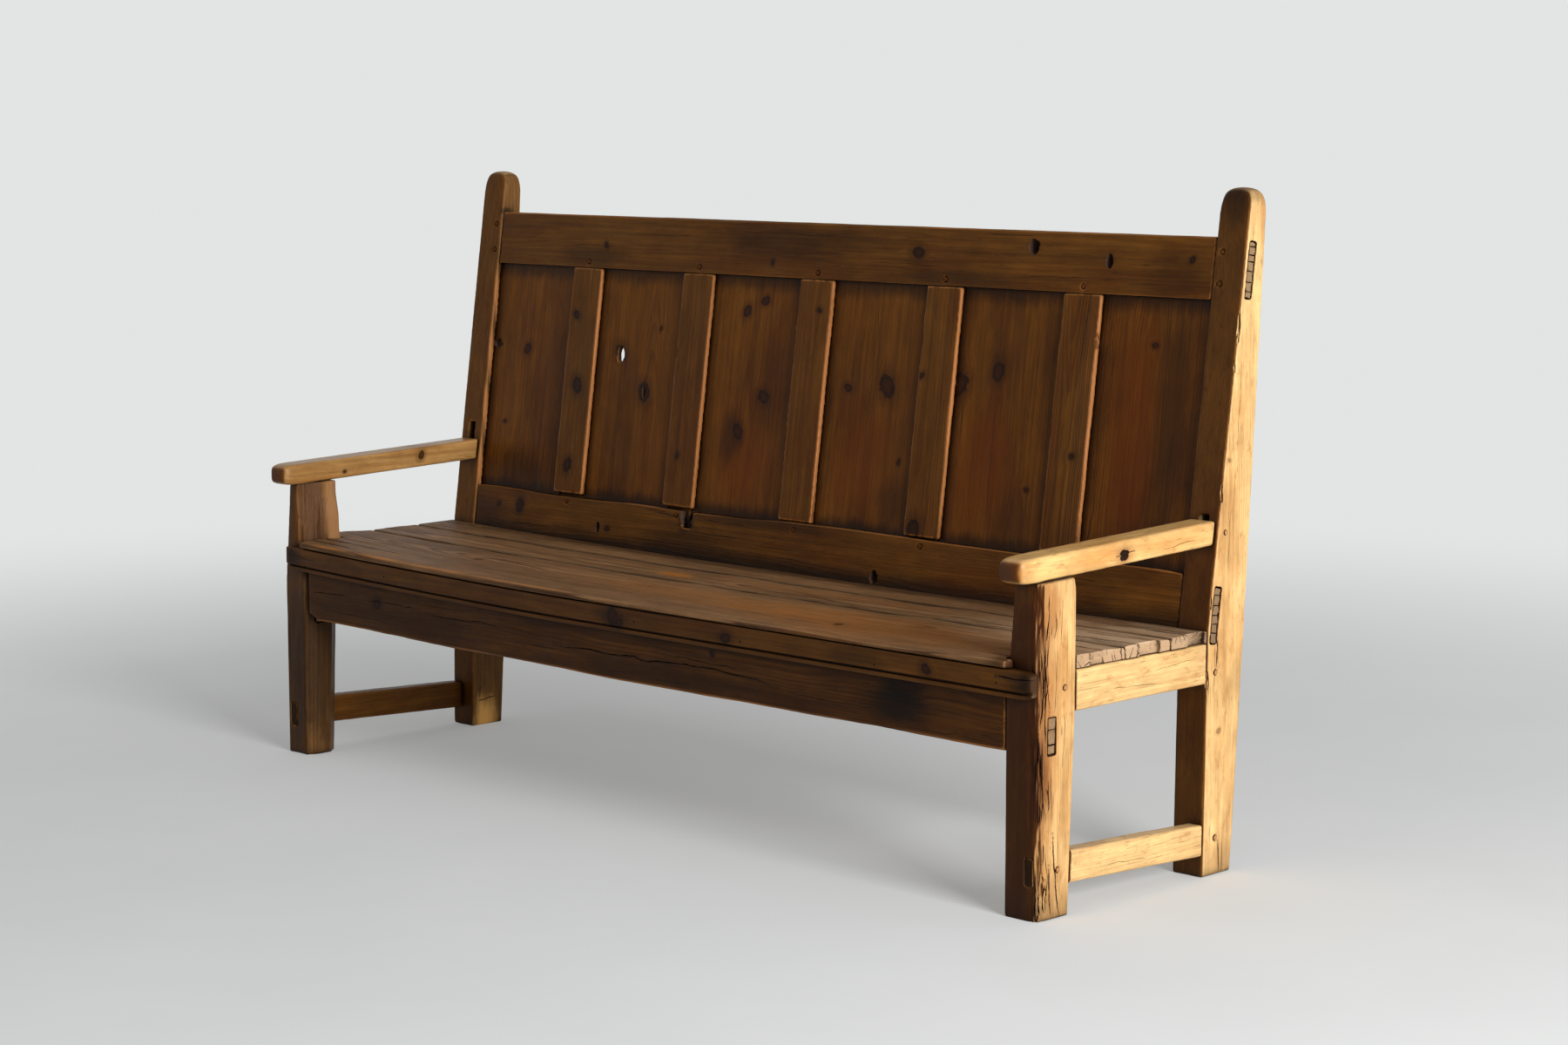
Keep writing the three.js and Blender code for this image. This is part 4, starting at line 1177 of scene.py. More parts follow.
WANE_BITES = [
    ((983, -248, 492), (11, 44, 112)),
    ((979, -262, 432), (10, 12, 70)),
    ((980, -261, 340), (12, 14, 90)),
    ((978, -263, 245), (12, 12, 70)),
    ((982, -254, 190), (10, 24, 120)),
    ((978, -263, 110), (11, 12, 60)),
    ((981, -256, 52), (12, 24, 60)),
    ((976, -265, 6), (14, 12, 16)),
]
FRONT_FACE_SPLITS = [
    ([(926, 400), (928, 240)], 1.0, 5),
    ([(940, 350), (938, 200)], 0.9, 5),
    ([(955, 260), (958, 130)], 0.9, 5),
    ([(962, 540), (960, 430)], 1.0, 5),
    ([(934, 160), (936, 40)], 0.9, 5),
]
POST_STAINS = [
    ((980, -254, 300), (240, 38, 44), WANE_BROWN, 0.85),
    ((980, -248, 500), (90, 42, 44), WANE_BROWN, 0.75),
    ((978, -258, 225), (110, 22, 30), DEEP_BROWN, 0.8),
    ((978, -256, 400), (90, 14, 20), DEEP_BROWN, 0.7),
    ((972, -238, 60), (60, 20), WANE_BROWN, 0.4),
    ((936, -270, 270), (900, 20, 70), DEEP_BROWN, 0.75),
]
STUB_STAINS_AND_PAINTED_LIGHT = [
    ((-912, -238, 490), (110, 26), DEEP_BROWN, 0.6),
    # A painted highlight on the stub's lit inner strip.
    ((-908, -188, 490), (130, 13), BLEACH_AND_HIGHLIGHT, 0.8),
    # Painted shade on the left front post below the seat.
    ((-925, -230, 190), (260, 90), SMOKE, 0.75),
]
# The wane's brown stripe, and a painted highlight on the stub's lit inner strip, laid over the wax.
STUB_STRIPE_AND_HIGHLIGHT = [
    ((-912, -238, 490), (110, 30), STRIPE_BROWN, 0.5),
    ((-908, -198, 490), (150, 20), STRIPE_HIGHLIGHT, 0.9),
]
REAR_POST_STAINS = [
    ((947, 262, 1118), (50, 16, 40), SMOKE, 0.6),
    ((980, 285, 1142), (24, 50), SMOKE, 0.5),
    ((980, 296, 1090), (60, 14), WANE_BROWN, 0.5),
    ((980, 200, 30), (50, 30), WANE_BROWN, 0.3),
]
# Painted shade on the front of the right arm's nose, and a painted highlight on its rounded outer corner.
ARM_NOSE_LIGHT_AND_SHADE = [((936, -308, 562), (8, 34, 22), SMOKE, 0.65), ((972, -306, 562), (9, 30, 8), NOSE_HIGHLIGHT, 0.5)]
# A painted pool of light on the left rear post's foot, below the stretcher.
FOOT_POOL_OF_LIGHT = [((-915, 192, 14), (62, 38, 12), PAINTED_LIGHT_WOOD, 0.95)]
LEFT_EDGE_HEIGHTS = (540, 660, 780, 900)
LEFT_EDGE_REACH = (90, 8, 6)
LEFT_EDGE_SET_BACK = 6 * MM
LEFT_TOP_SMUDGE = [((-915, 262, 1068), (10, 24, 12), GRIME, 0.7)]
FOOT_SPLITS = [
    ([(170, 53), (218, 56)], 2.0, 5),
    ([(176, 58), (178, 84)], 1.4, 4),
    ([(212, 60), (214, 80)], 1.4, 4),
]
REAR_EDGE_BITES = [
    (925, (9, 9, 64)),
    (860, (7, 6, 30)),
    (652, (9, 8, 50)),
    (470, (7, 7, 40)),
    (330, (8, 8, 44)),
]
ARM_HOLES = [((-53, 567), (27, 20, 18))]
ARM_SPLITS = [
    ([(-75, 564), (-60, 566)], 1.4, 5),
    ([(-48, 568), (-24, 572)], 1.4, 5),
    ([(40, 566), (130, 574)], 0.8, 3),
]
ARM_STAINS = [
    ((975, -130, 570), (70, 15), HEARTWOOD, 0.35),
    ((975, 60, 574), (110, 13), HEARTWOOD, 0.3),
    ((975, -70, 600), (50, 6), SMOKE, 0.5),
    ((975, -150, 543), (60, 6), SMOKE, 0.4),
    ((975, 120, 550), (90, 6), SMOKE, 0.35),
    ((975, -300, 556), (30, 60), WANE_BROWN, 0.45),
    ((975, -53, 566), (34, 20), WANE_BROWN, 0.6),
    ((975, 200, 590), (30, 8), SMOKE, 0.4),
]
LEFT_ARM_KNOTS = [((-920, 36, 578), 13), ((-920, -160, 560), 6)]
RAIL_SIDE_SPLITS = [([(-90, 352), (40, 350)], 0.8, 3), ([(20, 372), (130, 374)], 0.7, 3)]
STRETCHER_SPLITS = [([(-120, 66), (20, 62)], 0.8, 3)]
TENON_END_REACH = (14, 60)
# How much dark wax and painted shade falls on all faces of the left end's posts and arm, away from the
# window.
LEFT_POST_AGE_AND_SHADE = 0.9
LEFT_ARM_AGE_AND_SHADE = 0.6
DOME_REACH = (45 * MM, 12 * MM)
NOSE_SOFT_REACH = (50 * MM, 12 * MM)
LEDGE_REACH = (22 * MM, 6 * MM)
NOSE_REACH = 22 * MM
NOSE_PINCH = 0.24
RIDGE = (0.007, 0.007, 0.09)
FINE_RIDGE = (0.0032, 0.0032, 0.034)
FLAKE = (0.015, 0.015, 0.055)
RIDGE_DEPTH = 1.4 * MM
WANE_WIDTH = 30 * MM
STUB_RIDGE_DEPTH = 2.4 * MM
STUB_RIDGE_RUN = (-90 * MM, 0)
STUB_WASTE = 9 * MM
STUB_WASTE_WAVE = 50 * MM
STUB_CORE = 40 * MM
STUB_BACK_RUN = (0, 30 * MM)
STUB_INNER_RUN = (50 * MM, 110 * MM)


def domed_top(points):
    """Asks for more rounding towards the top of a rear post."""
    return towards(points[:, 2], POST_HIGH.z, DOME_REACH)


def rounded_nose(points):
    """Asks for more rounding at the front end of an arm, and some along its edges."""
    return 0.1 + 0.9 * towards(-points[:, 1], -points[:, 1].min(), NOSE_SOFT_REACH)


def blunt_nose(points):
    """Draws an arm's front end in towards its middle, like a well handled end."""
    front = points[:, 1].min()
    near = np.clip((front + NOSE_REACH - points[:, 1]) / NOSE_REACH, 0, 1) ** 2
    nose = points[near > 0][:, (0, 2)]
    middle = (nose.min(axis=0) + nose.max(axis=0)) / 2
    points[:, (0, 2)] += (middle - points[:, (0, 2)]) * near[:, None] * NOSE_PINCH
    return points


def ledge(points):
    """Asks for more rounding at the top of a front post, round the arm that stands on it."""
    shoulder = points[points[:, 0] > HALF_LENGTH - VOXEL * 2][:, 2].max()
    return 0.9 * towards(points[:, 2], shoulder, LEDGE_REACH)


def ridges_at(points, seed):
    lost = smooth_step(noise(points, FLAKE, seed + 2), 0.1, 0.4)
    return 1.2 + noise(points, RIDGE, seed) + 0.7 * noise(points, FINE_RIDGE, seed + 1) + 1.2 * lost


def rough_wane(points):
    """Chews the right front post's outer corner into the ridges of an old waney edge."""
    corner = (points[:, 0] - points[:, 1]) - (HALF_LENGTH - FRONT_FACE - WANE_WIDTH)
    deep = smooth_step(corner, 0, WANE_WIDTH * 0.6) * ridges_at(points, 201) * RIDGE_DEPTH
    return points + deep[:, None] * INTO_WANE


def rough_stub(points):
    """Carves the striped wane of the left front post, from its seat to its arm."""
    across = points[:, 0] + HALF_LENGTH - (points[:, 1] - FRONT_FACE) * 0.65
    near = smooth_step(across, WANE_WIDTH, WANE_WIDTH * 1.6)
    near *= smooth_step(points[:, 2] - SEAT_TOP, *STUB_RIDGE_RUN)
    deep = near * ridges_at(points, 204) * STUB_RIDGE_DEPTH
    return points + deep[:, None] * INTO_WANE


def narrow_stub(points):
    """Wastes the left front post from behind and from inside, between the seat and the arm."""
    above = points[:, 2] - SEAT_TOP
    back = smooth_step(points[:, 1], FRONT_FACE + STUB_CORE, FRONT_POST_HIGH.y)
    uneven = 0.7 + 0.3 * noise(points * (0, 0, 1), STUB_WASTE_WAVE, 206)
    inner = smooth_step(points[:, 0], -HALF_LENGTH + STUB_CORE, -FRONT_POST_INNER)
    points[:, 1] -= STUB_WASTE * back * smooth_step(above, *STUB_BACK_RUN) * uneven
    points[:, 0] -= STUB_WASTE * inner * smooth_step(above, *STUB_INNER_RUN)
    return points


def wane_checks(seed):
    """Fine upright cracks, scattered over the waney corner of the right front post."""
    chance = np.random.default_rng(seed)
    cracks = []
    for index in range(WANE_CHECKS):
        length = chance.uniform(*WANE_CHECK_LENGTHS)
        low = chance.uniform(0, (SEAT_TOP / MM + length) * 1.2 - length)
        away = chance.uniform(0, 1) ** 1.3 * WANE_WIDTH
        foot = Vector((HALF_LENGTH - (WANE_WIDTH - away) / 3, FRONT_FACE + away, low * MM))
        path = [foot, foot + spot(0, chance.uniform(*WANE_CHECK_LEANS), length)]
        width = chance.uniform(*WANE_CHECK_WIDTHS)
        cracks.append(split(path, INTO_WANE, width, width * 4, seed + 3 * index,
                            wander=WANE_CHECK_WANDER, proud=WANE_PROUD))
    return cracks


def left_edge():
    """A painted highlight along the inner edge of the left rear post, where it catches the light."""
    inner = -REAR_POST_INNER / MM
    rows = [((inner, height), LEFT_EDGE_REACH, PAINTED_EDGE_HIGHLIGHT, 0.65) for height in LEFT_EDGE_HEIGHTS]
    return stains_at(rows, back_plane(LEFT_EDGE_SET_BACK))


def rear_edge_bites(seed):
    """Bites out of the right rear post's front edge, which stands upright below the seat."""
    bites = []
    for index, (height, size) in enumerate(REAR_EDGE_BITES):
        at = on_back(HALF_LENGTH, max(height * MM, SEAT_TOP), 0)
        at.z = height * MM
        bites.append(bite(at, scaled(*size), seed + index, 0.4))
    return bites


def dress_rear_posts():
    on_top = front_plane(POST_HIGH.y - REAR_TOP_SET_BACK)
    dress("rear_post_right", ALONG_Z, ALONG_X, rounds=6, uneven=1.5, soft=domed_top, aged_and_shaded=0.0,
          knots=knots_at(REAR_KNOTS, on_right_side), stains=stains_at(REAR_POST_STAINS),
          breaks=rear_edge_bites(230),
          cracks=[*splits_at(REAR_SIDE_SPLITS + BOTH_REAR_SIDE_SPLITS, 220, -ALONG_X, on_right_side),
                  *splits_at(REAR_TOP_SPLITS, 211, INTO_FRONT, on_top, step=1)])
    dress("rear_post_left", ALONG_Z, -ALONG_X, rounds=6, uneven=1.5, soft=domed_top, aged_and_shaded=LEFT_POST_AGE_AND_SHADE,
          fresh=stains_at(FOOT_POOL_OF_LIGHT + LEFT_TOP_SMUDGE) + left_edge(),
          cracks=[*splits_at(BOTH_REAR_SIDE_SPLITS, 250, ALONG_X, side_plane(-HALF_LENGTH)),
                  *splits_at(FOOT_SPLITS, 270, -ALONG_X, side_plane(-REAR_POST_INNER))])


def dress_front_posts():
    dress("front_post_right", ALONG_Z, ALONG_X, uneven=1.5, soft=ledge, scars=rough_wane, aged_and_shaded=0.0,
          stains=stains_at(POST_STAINS), breaks=bites_at(WANE_BITES, 360, 0.45),
          cracks=[*splits_at(WANE_SPLITS, 301, INTO_WANE, wander=WANE_SPLIT_WANDER, proud=WANE_PROUD),
                  *wane_checks(380),
                  *splits_at(FRONT_SIDE_SPLITS, 320, -ALONG_X, on_right_side),
                  *splits_at(FRONT_FACE_SPLITS, 341, INTO_FRONT, front_plane(FRONT_FACE))])
    dress("front_post_left", ALONG_Z, ALONG_X, rounds=6, uneven=1.5, shape=narrow_stub, scars=rough_stub,
          stains=stains_at(STUB_STAINS_AND_PAINTED_LIGHT), fresh=stains_at(STUB_STRIPE_AND_HIGHLIGHT), aged_and_shaded=LEFT_POST_AGE_AND_SHADE, lines=1.5)


def dress_arms():
    on_arm_side = side_plane(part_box("arm_right")[1].x)
    worn = {"rounds": 9, "uneven": 0.7, "shape": blunt_nose, "soft": rounded_nose}
    dress("arm_right", ALONG_Y, ALONG_X, **worn, aged_and_shaded=0.0,
          stains=stains_at(ARM_STAINS), fresh=stains_at(ARM_NOSE_LIGHT_AND_SHADE),
          cracks=[*holes_at(ARM_HOLES, 401, -ALONG_X, on_arm_side, rough=0.3),
                  *splits_at(ARM_SPLITS, 402, -ALONG_X, on_arm_side)])
    dress("arm_left", ALONG_Y, ALONG_X, **worn, aged_and_shaded=LEFT_ARM_AGE_AND_SHADE, knots=knots_at(LEFT_ARM_KNOTS))


def tenon_dirt(node):
    """Old dirt on the end of a stretcher's tenon, in the front post's front face."""
    end = middle_of(node)
    end.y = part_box(node)[0].y
    return [(end, scaled(*TENON_END_REACH), GRIME, 0.75)]


def dress_end_bars():
    # The left end's rails and stretchers are darkened on every face, wax and painted shade; the right end's
    # only on faces turned front or back.
    ends = (("left", -1, lift_left, 1.0), ("right", 1, None, 0.0))
    for number, (side, sign, shape, aged_and_shaded) in enumerate(ends):
        into, on_side = ALONG_X * -sign, side_plane(HALF_LENGTH * sign)
        rail_splits = splits_at(RAIL_SIDE_SPLITS, 410 + 10 * number, into, on_side)
        dress(f"side_rail_{side}", ALONG_Y, -into, cracks=rail_splits, shape=shape, aged_and_shaded=aged_and_shaded)
        stretcher = f"side_stretcher_{side}"
        stretcher_splits = splits_at(STRETCHER_SPLITS, 430 + 10 * number, into, on_side)
        dress(stretcher, ALONG_Y, -into, rounds=7, uneven=1.3, cracks=stretcher_splits,
              stains=tenon_dirt(stretcher), aged_and_shaded=aged_and_shaded)
        dress(f"seat_bearer_{side}", ALONG_Y, ALONG_Z)


# The seat, which rises a little towards its left end; places are x, depth and height in millimetres

SEAT_RISE = 10 * MM
FRONT_RISE = 17 * MM
LEVEL_HALF = 100 * MM
FRONT_RUN = (50 * MM, 280 * MM)
SEAT_FACE_REACH = (14 * MM, 6 * MM)
SEAT_DIP = 4 * MM
SEAT_HOLLOW = (350 * MM, 450 * MM)
EDGE_DIP = (640 * MM, 160 * MM)
EDGE_DIP_RUN = (220 * MM, 280 * MM)
SEAT_WAVE = 1.2 * MM
SEAT_WAVE_SIZES = (0.30, 0.06, 1)
SEAM_STEP = 2.2 * MM
SEAM_SLOPE_REACH = (50 * MM, 2 * MM)
SEAM_WAVE_SIZE = 110 * MM
SEAM_ROUND = 1.6 * MM
SEAM_REACH = 6 * MM
NOSING_REACH = (20 * MM, 6 * MM)
NOSING_CHIPS = [
    ((930, -286, 424), (24, 14, 16)),
    ((300, -291, 424), (60, 9, 9)),
    ((-120, -291, 423), (44, 8, 9)),
    ((520, -291, 423), (30, 8, 8)),
    ((60, -291, 424), (26, 8, 8)),
    ((-420, -291, 428), (50, 8, 9)),
    ((820, -291, 423), (36, 8, 10)),
]
SEAT_CHIPS = [((311, -55, 420), (26, 12, 7))]
SEAT_END_STAINS = [
    ((980, -20, 420), (420, 190), DRY_GREY, 0.9),
    ((990, 0, 428), (300, 200, 14), BLEACH_AND_HIGHLIGHT, 0.95),
    ((925, -275, 412), (46, 34), SMOKE, 0.9),
]
SEAT_STAINS_AND_SHADE = {
    "front": [
        ((120, -150, 420), (420, 70), WANE_BROWN, 0.5),
        ((-700, -90, 420), (200, 60), SMOKE, 0.4),
        ((560, -170, 420), (440, 120), HEARTWOOD, 0.35),
    ],
    "middle": [((-126, -5, 420), (55, 22), HEARTWOOD, 0.7), ((300, 20, 420), (400, 40), WANE_BROWN, 0.3)],
    # Painted shade along the rear board's back edge, where it meets the lower rail.
    "rear": [((-100, 154, 420), (2000, 44), SMOKE, 0.8)],
}
NOSING_CORNER = [((914, -272, 412), (14, 20, 16), DEEP_BROWN, 0.55)]
NOSING_RUNS = [(-930, 70), (-800, 90), (-640, 110), (-450, 140), (-200, 180)]
# A painted highlight on the seat's upper front edge, and painted shade on the face below it.
NOSING_HIGHLIGHT = (-286, -1, (8, 5), AGED_EDGE_AND_HIGHLIGHT, 0.75)
NOSING_SHADE = (-289, -11, (5, 8), GRIME, 0.5)
SEAT_KNOTS = [((-520, -150, 420), 14), ((480, -200, 420), 12)]
# Cracks that run in from the seat's ends and others further in
END_CRACK_SHARE = 0.7
LEFT_END_SHARE = 0.35
INNER_CRACK_STARTS = (-880, 500)
SEAT_CRACK_LENGTHS = (70, 380)
SEAT_CRACK_LEANS = (-5, 5)
END_CRACK_WIDTHS = (2.2, 5.0)
INNER_CRACK_WIDTHS = (1.4, 2.6)
SEAT_CRACK_DEPTHS = (5, 12)
SEAT_CRACK_PROUD = 16 * MM
# Blocks broken out of the ends, and the cracks between them
BLOCK_WIDTHS = (24, 62)
BLOCK_LOSSES = (1, 9)
BLOCK_TALL = 46
BLOCK_DEEP = 26
BLOCK_TURNS = (-0.16, 0.16)
BLOCK_CRACK_START = 2
BLOCK_CRACK_LENGTHS = (40, 160)
BLOCK_CRACK_LEANS = (-4, 4)
BLOCK_CRACK_WIDTHS = (1.2, 2.6)
BLOCK_CRACK_DEPTHS = (10, 24)
BLOCK_GAP = 2 * MM
# Small checks in the right end
END_CHECKS = 9
CHECK_INSET = 3
CHECK_DROPS = (0, 18)
CHECK_LEANS = (-8, 8)
CHECK_RISES = (3, 11)
CHECK_WIDTHS = (0.9, 1.8)
CHECK_DEPTH = 10
CHECK_WANDER = 1 * MM
CHECK_PROUD = 12 * MM


def left_share(x):
    """How far a place lies towards the seat's left end, from 0 to 1, growing faster near the end."""
    return np.clip((-x - LEVEL_HALF) / (HALF_LENGTH - LEVEL_HALF), 0, 1) ** 1.7


def lift_left(points):
    points[:, 2] += SEAT_RISE * left_share(points[:, 0])
    return points


def lift_front(points):
    points[:, 2] += FRONT_RISE * left_share(points[:, 0])
    return points


def seat_shape(points):
    """Lifts the left end, most at the front, hollows the middle and rounds the seams."""
    x, y = points[:, 0], points[:, 1]
    front = smooth_step(-y, *FRONT_RUN)
    upper = towards(points[:, 2], SEAT_TOP, SEAT_FACE_REACH)
    uneven = 0.5 + 0.5 * noise(points * (1, 1, 0), SEAT_WAVE_SIZES, 501)
    down = SEAT_DIP * swelling(x, *SEAT_HOLLOW) * (0.5 + 0.5 * front) + SEAT_WAVE * uneven
    down += SEAT_DIP * swelling(x, *EDGE_DIP) * smooth_step(-y, *EDGE_DIP_RUN)
    for seam in (FRONT_SEAM, REAR_SEAM):
        before = towards(y, seam, SEAM_SLOPE_REACH) * (y < seam)
        ragged = 0.7 + 0.6 * noise(points * (1, 0, 0), SEAM_WAVE_SIZE, 502)
        down += SEAM_STEP * before * ragged
        down += SEAM_ROUND * np.clip(1 - np.abs(y - seam) / SEAM_REACH, 0, 1) ** 2
    points[:, 2] -= upper * down
    points[:, 2] += (SEAT_RISE + (FRONT_RISE - SEAT_RISE) * front) * left_share(x)
    return points


def seam_line(y):
    """Places close together along a seam, where dirt gathers."""
    x = np.arange(-HALF_LENGTH, HALF_LENGTH, SEAM_DIRT / 2)
    points = np.stack([x, np.full(len(x), y), np.full(len(x), SEAT_TOP)], axis=1)
    return seat_shape(points)


def rounded_nosing(points):
    """Asks for more rounding at the front edge of the seat."""
    return 0.5 * towards(-points[:, 1], -points[:, 1].min(), NOSING_REACH)


def seat_cracks(low_y, high_y, count, seed):
    """Splits along a board, most of them running in from its two ends."""
    chance = np.random.default_rng(seed)
    cracks = []
    for index in range(count):
        y = chance.uniform(low_y + SEAM_REACH, high_y - SEAM_REACH) / MM
        length = chance.uniform(*SEAT_CRACK_LENGTHS)
        from_end = chance.uniform() < END_CRACK_SHARE
        x = HALF_LENGTH / MM - length if from_end else chance.uniform(*INNER_CRACK_STARTS)
        if from_end and chance.uniform() < LEFT_END_SHARE:
            x = -HALF_LENGTH / MM
        height = (SEAT_TOP + SEAT_RISE * left_share(x * MM)) / MM
        path = [spot(x, y, height), spot(x + length, y + chance.uniform(*SEAT_CRACK_LEANS), height)]
        width = chance.uniform(*(END_CRACK_WIDTHS if from_end else INNER_CRACK_WIDTHS))
        depth = chance.uniform(*SEAT_CRACK_DEPTHS)
        cracks.append(split(path, -ALONG_Z, width, depth, seed + 7 * index, proud=SEAT_CRACK_PROUD))
    return cracks


def ragged_end(low_y, high_y, seed, sign=1):
    """Short blocks broken out of a board's end, each to its own depth, with cracks between them."""
    chance = np.random.default_rng(seed)
    end = HALF_LENGTH / MM
    height = (SEAT_TOP + SEAT_RISE * (sign < 0)) / MM
    blocks, cracks = [], []
    y = low_y / MM
    while y < high_y / MM:
        wide = chance.uniform(*BLOCK_WIDTHS)
        x = end + BLOCK_DEEP / 2 - chance.uniform(*BLOCK_LOSSES)
        turn = chance.uniform(*BLOCK_TURNS)
        at = spot(sign * x, y + wide / 2, height - BLOCK_TALL / 5)
        size = scaled(BLOCK_DEEP, wide, BLOCK_TALL)
        blocks.append(bite(at, size, seed + len(blocks), 0.1, turn=turn, square=0.9))
        outer = spot(sign * (end + BLOCK_CRACK_START), y, height)
        far = sign * (end - chance.uniform(*BLOCK_CRACK_LENGTHS))
        inner = spot(far, y + chance.uniform(*BLOCK_CRACK_LEANS), height)
        width = chance.uniform(*BLOCK_CRACK_WIDTHS)
        depth = chance.uniform(*BLOCK_CRACK_DEPTHS)
        cracks.append(split([inner, outer], -ALONG_Z, width, depth, seed + 3 * len(cracks),
                            proud=SEAT_CRACK_PROUD))
        y += wide
    return blocks, cracks


def end_checks(low_y, high_y, seed):
    """Small dark cracks across the end grain at a board's right end."""
    chance = np.random.default_rng(seed)
    checks = []
    for index in range(END_CHECKS):
        y = chance.uniform(low_y, high_y) / MM
        at = spot(HALF_LENGTH / MM - CHECK_INSET, y, SEAT_TOP / MM - chance.uniform(*CHECK_DROPS))
        lean = spot(0, chance.uniform(*CHECK_LEANS), chance.uniform(*CHECK_RISES))
        width = chance.uniform(*CHECK_WIDTHS)
        checks.append(split([at - lean, at + lean], -ALONG_X, width, CHECK_DEPTH, seed + 5 * index,
                            wander=CHECK_WANDER, proud=CHECK_PROUD))
    return checks


def nosing_corner_and_painted_light():
    """A dark patch at the right corner, and along the left half a painted highlight on the upper edge of the
    seat's front edge and painted shade on its face.
    """
    rows = [*NOSING_CORNER]
    for x, run in NOSING_RUNS:
        top = (SEAT_TOP + FRONT_RISE * left_share(x * MM)) / MM
        for y, down, reach, tint, share in (NOSING_HIGHLIGHT, NOSING_SHADE):
            rows.append(((x, y, top + down), (run, *reach), tint, share))
    return stains_at(rows)


def dress_board(name, low_y, high_y, seed, count, breaks=(), cracks=(), **more):
    """A seat board, cracked along its grain and broken into short blocks at both ends."""
    post_back = FRONT_POST_HIGH.y
    right_blocks, right_cracks = ragged_end(max(low_y, post_back + BLOCK_GAP), high_y, seed)
    left_blocks, left_cracks = ragged_end(max(low_y, post_back + BLOCK_GAP), high_y, seed + 4, -1)
    dress(f"seat_board_{name}", ALONG_X, ALONG_Z, rounds=4, uneven=1.4, shape=seat_shape,
          breaks=[*breaks, *right_blocks, *left_blocks],
          cracks=[*cracks, *seat_cracks(low_y, high_y, count, seed + 10), *right_cracks, *left_cracks,
                  *end_checks(max(low_y, post_back), high_y, seed + 30)],
          seams=[seam_line(y) for y in (FRONT_SEAM, REAR_SEAM) if low_y - MM < y < high_y + MM],
          stains=stains_at(SEAT_STAINS_AND_SHADE[name] + SEAT_END_STAINS), aged_and_shaded=0.0, lines=1.4, **more)


def dress_boards():
    dress_board("front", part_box("seat_board_front")[0].y, FRONT_SEAM, 520, 13,
                bites_at(NOSING_CHIPS, 511, 0.3),
                holes_at(SEAT_CHIPS, 515, -ALONG_Z, tall=ALONG_Y, rough=0.3),
                knots=knots_at(SEAT_KNOTS), fresh=nosing_corner_and_painted_light(), soft=rounded_nosing)
    dress_board("middle", FRONT_SEAM, REAR_SEAM, 540, 12)
    dress_board("rear", REAR_SEAM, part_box("seat_board_rear")[1].y, 560, 10)


# The apron and the fascia; places are x and height in millimetres

APRON_SPLITS = [
    ([(-896, 331), (-840, 336), (-779, 333)], 1.6, 8),
    ([(-724, 334), (-564, 334)], 1.8, 9),
    ([(-538, 325), (-409, 328), (-320, 324)], 2.0, 10),
    ([(-176, 311), (46, 313), (240, 316), (400, 306)], 3.2, 16),
    ([(120, 330), (330, 324)], 1.6, 7),
    ([(430, 300), (640, 296)], 1.2, 6),
    ([(-300, 300), (-150, 306)], 1.0, 5),
    ([(560, 340), (860, 334)], 1.0, 5),
    ([(-860, 300), (-640, 296)], 1.0, 5),
    ([(700, 280), (880, 276)], 1.0, 5),
]
APRON_SPLIT_WANDER = 4 * MM
APRON_KNOTS = [((-690, 330), 17), ((690, 362), 20), ((240, 345), 10)]
APRON_STAINS = [
    ((690, 352), (60, 44), GRIME, 0.9),
    ((674, 312), (96, 44), GRIME, 0.85),
    ((100, 290), (420, 30), SMOKE, 0.6),
    ((-600, 310), (360, 40), SMOKE, 0.6),
    ((0, 390), (1000, 26), SMOKE, 0.7),
]
APRON_EDGE = 70 * MM
APRON_RISE = 9 * MM
APRON_WAVE = 1.5 * MM
APRON_WAVE_SIZE = 160 * MM
APRON_CURL = 11 * MM
APRON_CURL_REACH = 35 * MM
FASCIA_KNOTS = [((8, 386), 24), ((26, 376), 12), ((294, 380), 17), ((756, 384), 14), ((-930, 402), 16)]
FASCIA_NAILS = [(-641, 390), (63, 382), (330, 378), (642, 377), (905, 380), (-890, 385)]
NAIL_SIZE = (4.5, 4.5, 6)
FASCIA_SPLITS = [([(905, 390), (990, 391)], 3.2, 14), ([(-945, 404), (-880, 399)], 1.8, 8)]
FASCIA_SPLIT_WANDER = 2 * MM
FASCIA_STAINS = [
    ((-100, 384), (1500, 60), SMOKE, 0.35),
    ((985, 385), (60, 50), SMOKE, 1.0),
    ((10, 382), (60, 16), SMOKE, 0.6),
    ((-930, 400), (40, 30), SMOKE, 0.6),
    ((600, 384), (90, 30), SMOKE, 0.4),
]
FASCIA_END_DIRT = [((982, 385), (18, 50), SMOKE, 0.55)]
FASCIA_BITES = [((983, 404), (26, 18, 12)), ((984, 356), (22, 16, 10))]
FASCIA_ROUND = 14 * MM
FASCIA_PINCH = 0.22
FASCIA_SOFT_REACH = (20 * MM, 4 * MM)


def apron_shape(points):
    """Lets the apron's lower edge wander, highest at its left end, where it curls up to the post."""
    points = shrink_tenons(points)
    x, z = points[:, 0], points[:, 2]
    low = towards(-z, -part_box("front_apron")[0].z, (APRON_EDGE, 0))
    inside = np.abs(x) < FRONT_POST_INNER
    wander = APRON_WAVE * (1 + noise(points * (1, 0, 0), APRON_WAVE_SIZE, 601))
    wander += APRON_RISE * left_share(x) ** 0.7
    wander += APRON_CURL * towards(-x, FRONT_POST_INNER, (APRON_CURL_REACH, 0))
    points[:, 2] += low * inside * wander
    return points


def fascia_shape(points):
    """Rounds the fascia's right end and lifts its left one with the seat."""
    reach = np.clip((points[:, 0] - (FASCIA_END - FASCIA_ROUND)) / FASCIA_ROUND, 0, 1)
    middle = middle_of("front_fascia").z
    points[:, 2] = middle + (points[:, 2] - middle) * (1 - FASCIA_PINCH * reach ** 2)
    return lift_front(points)


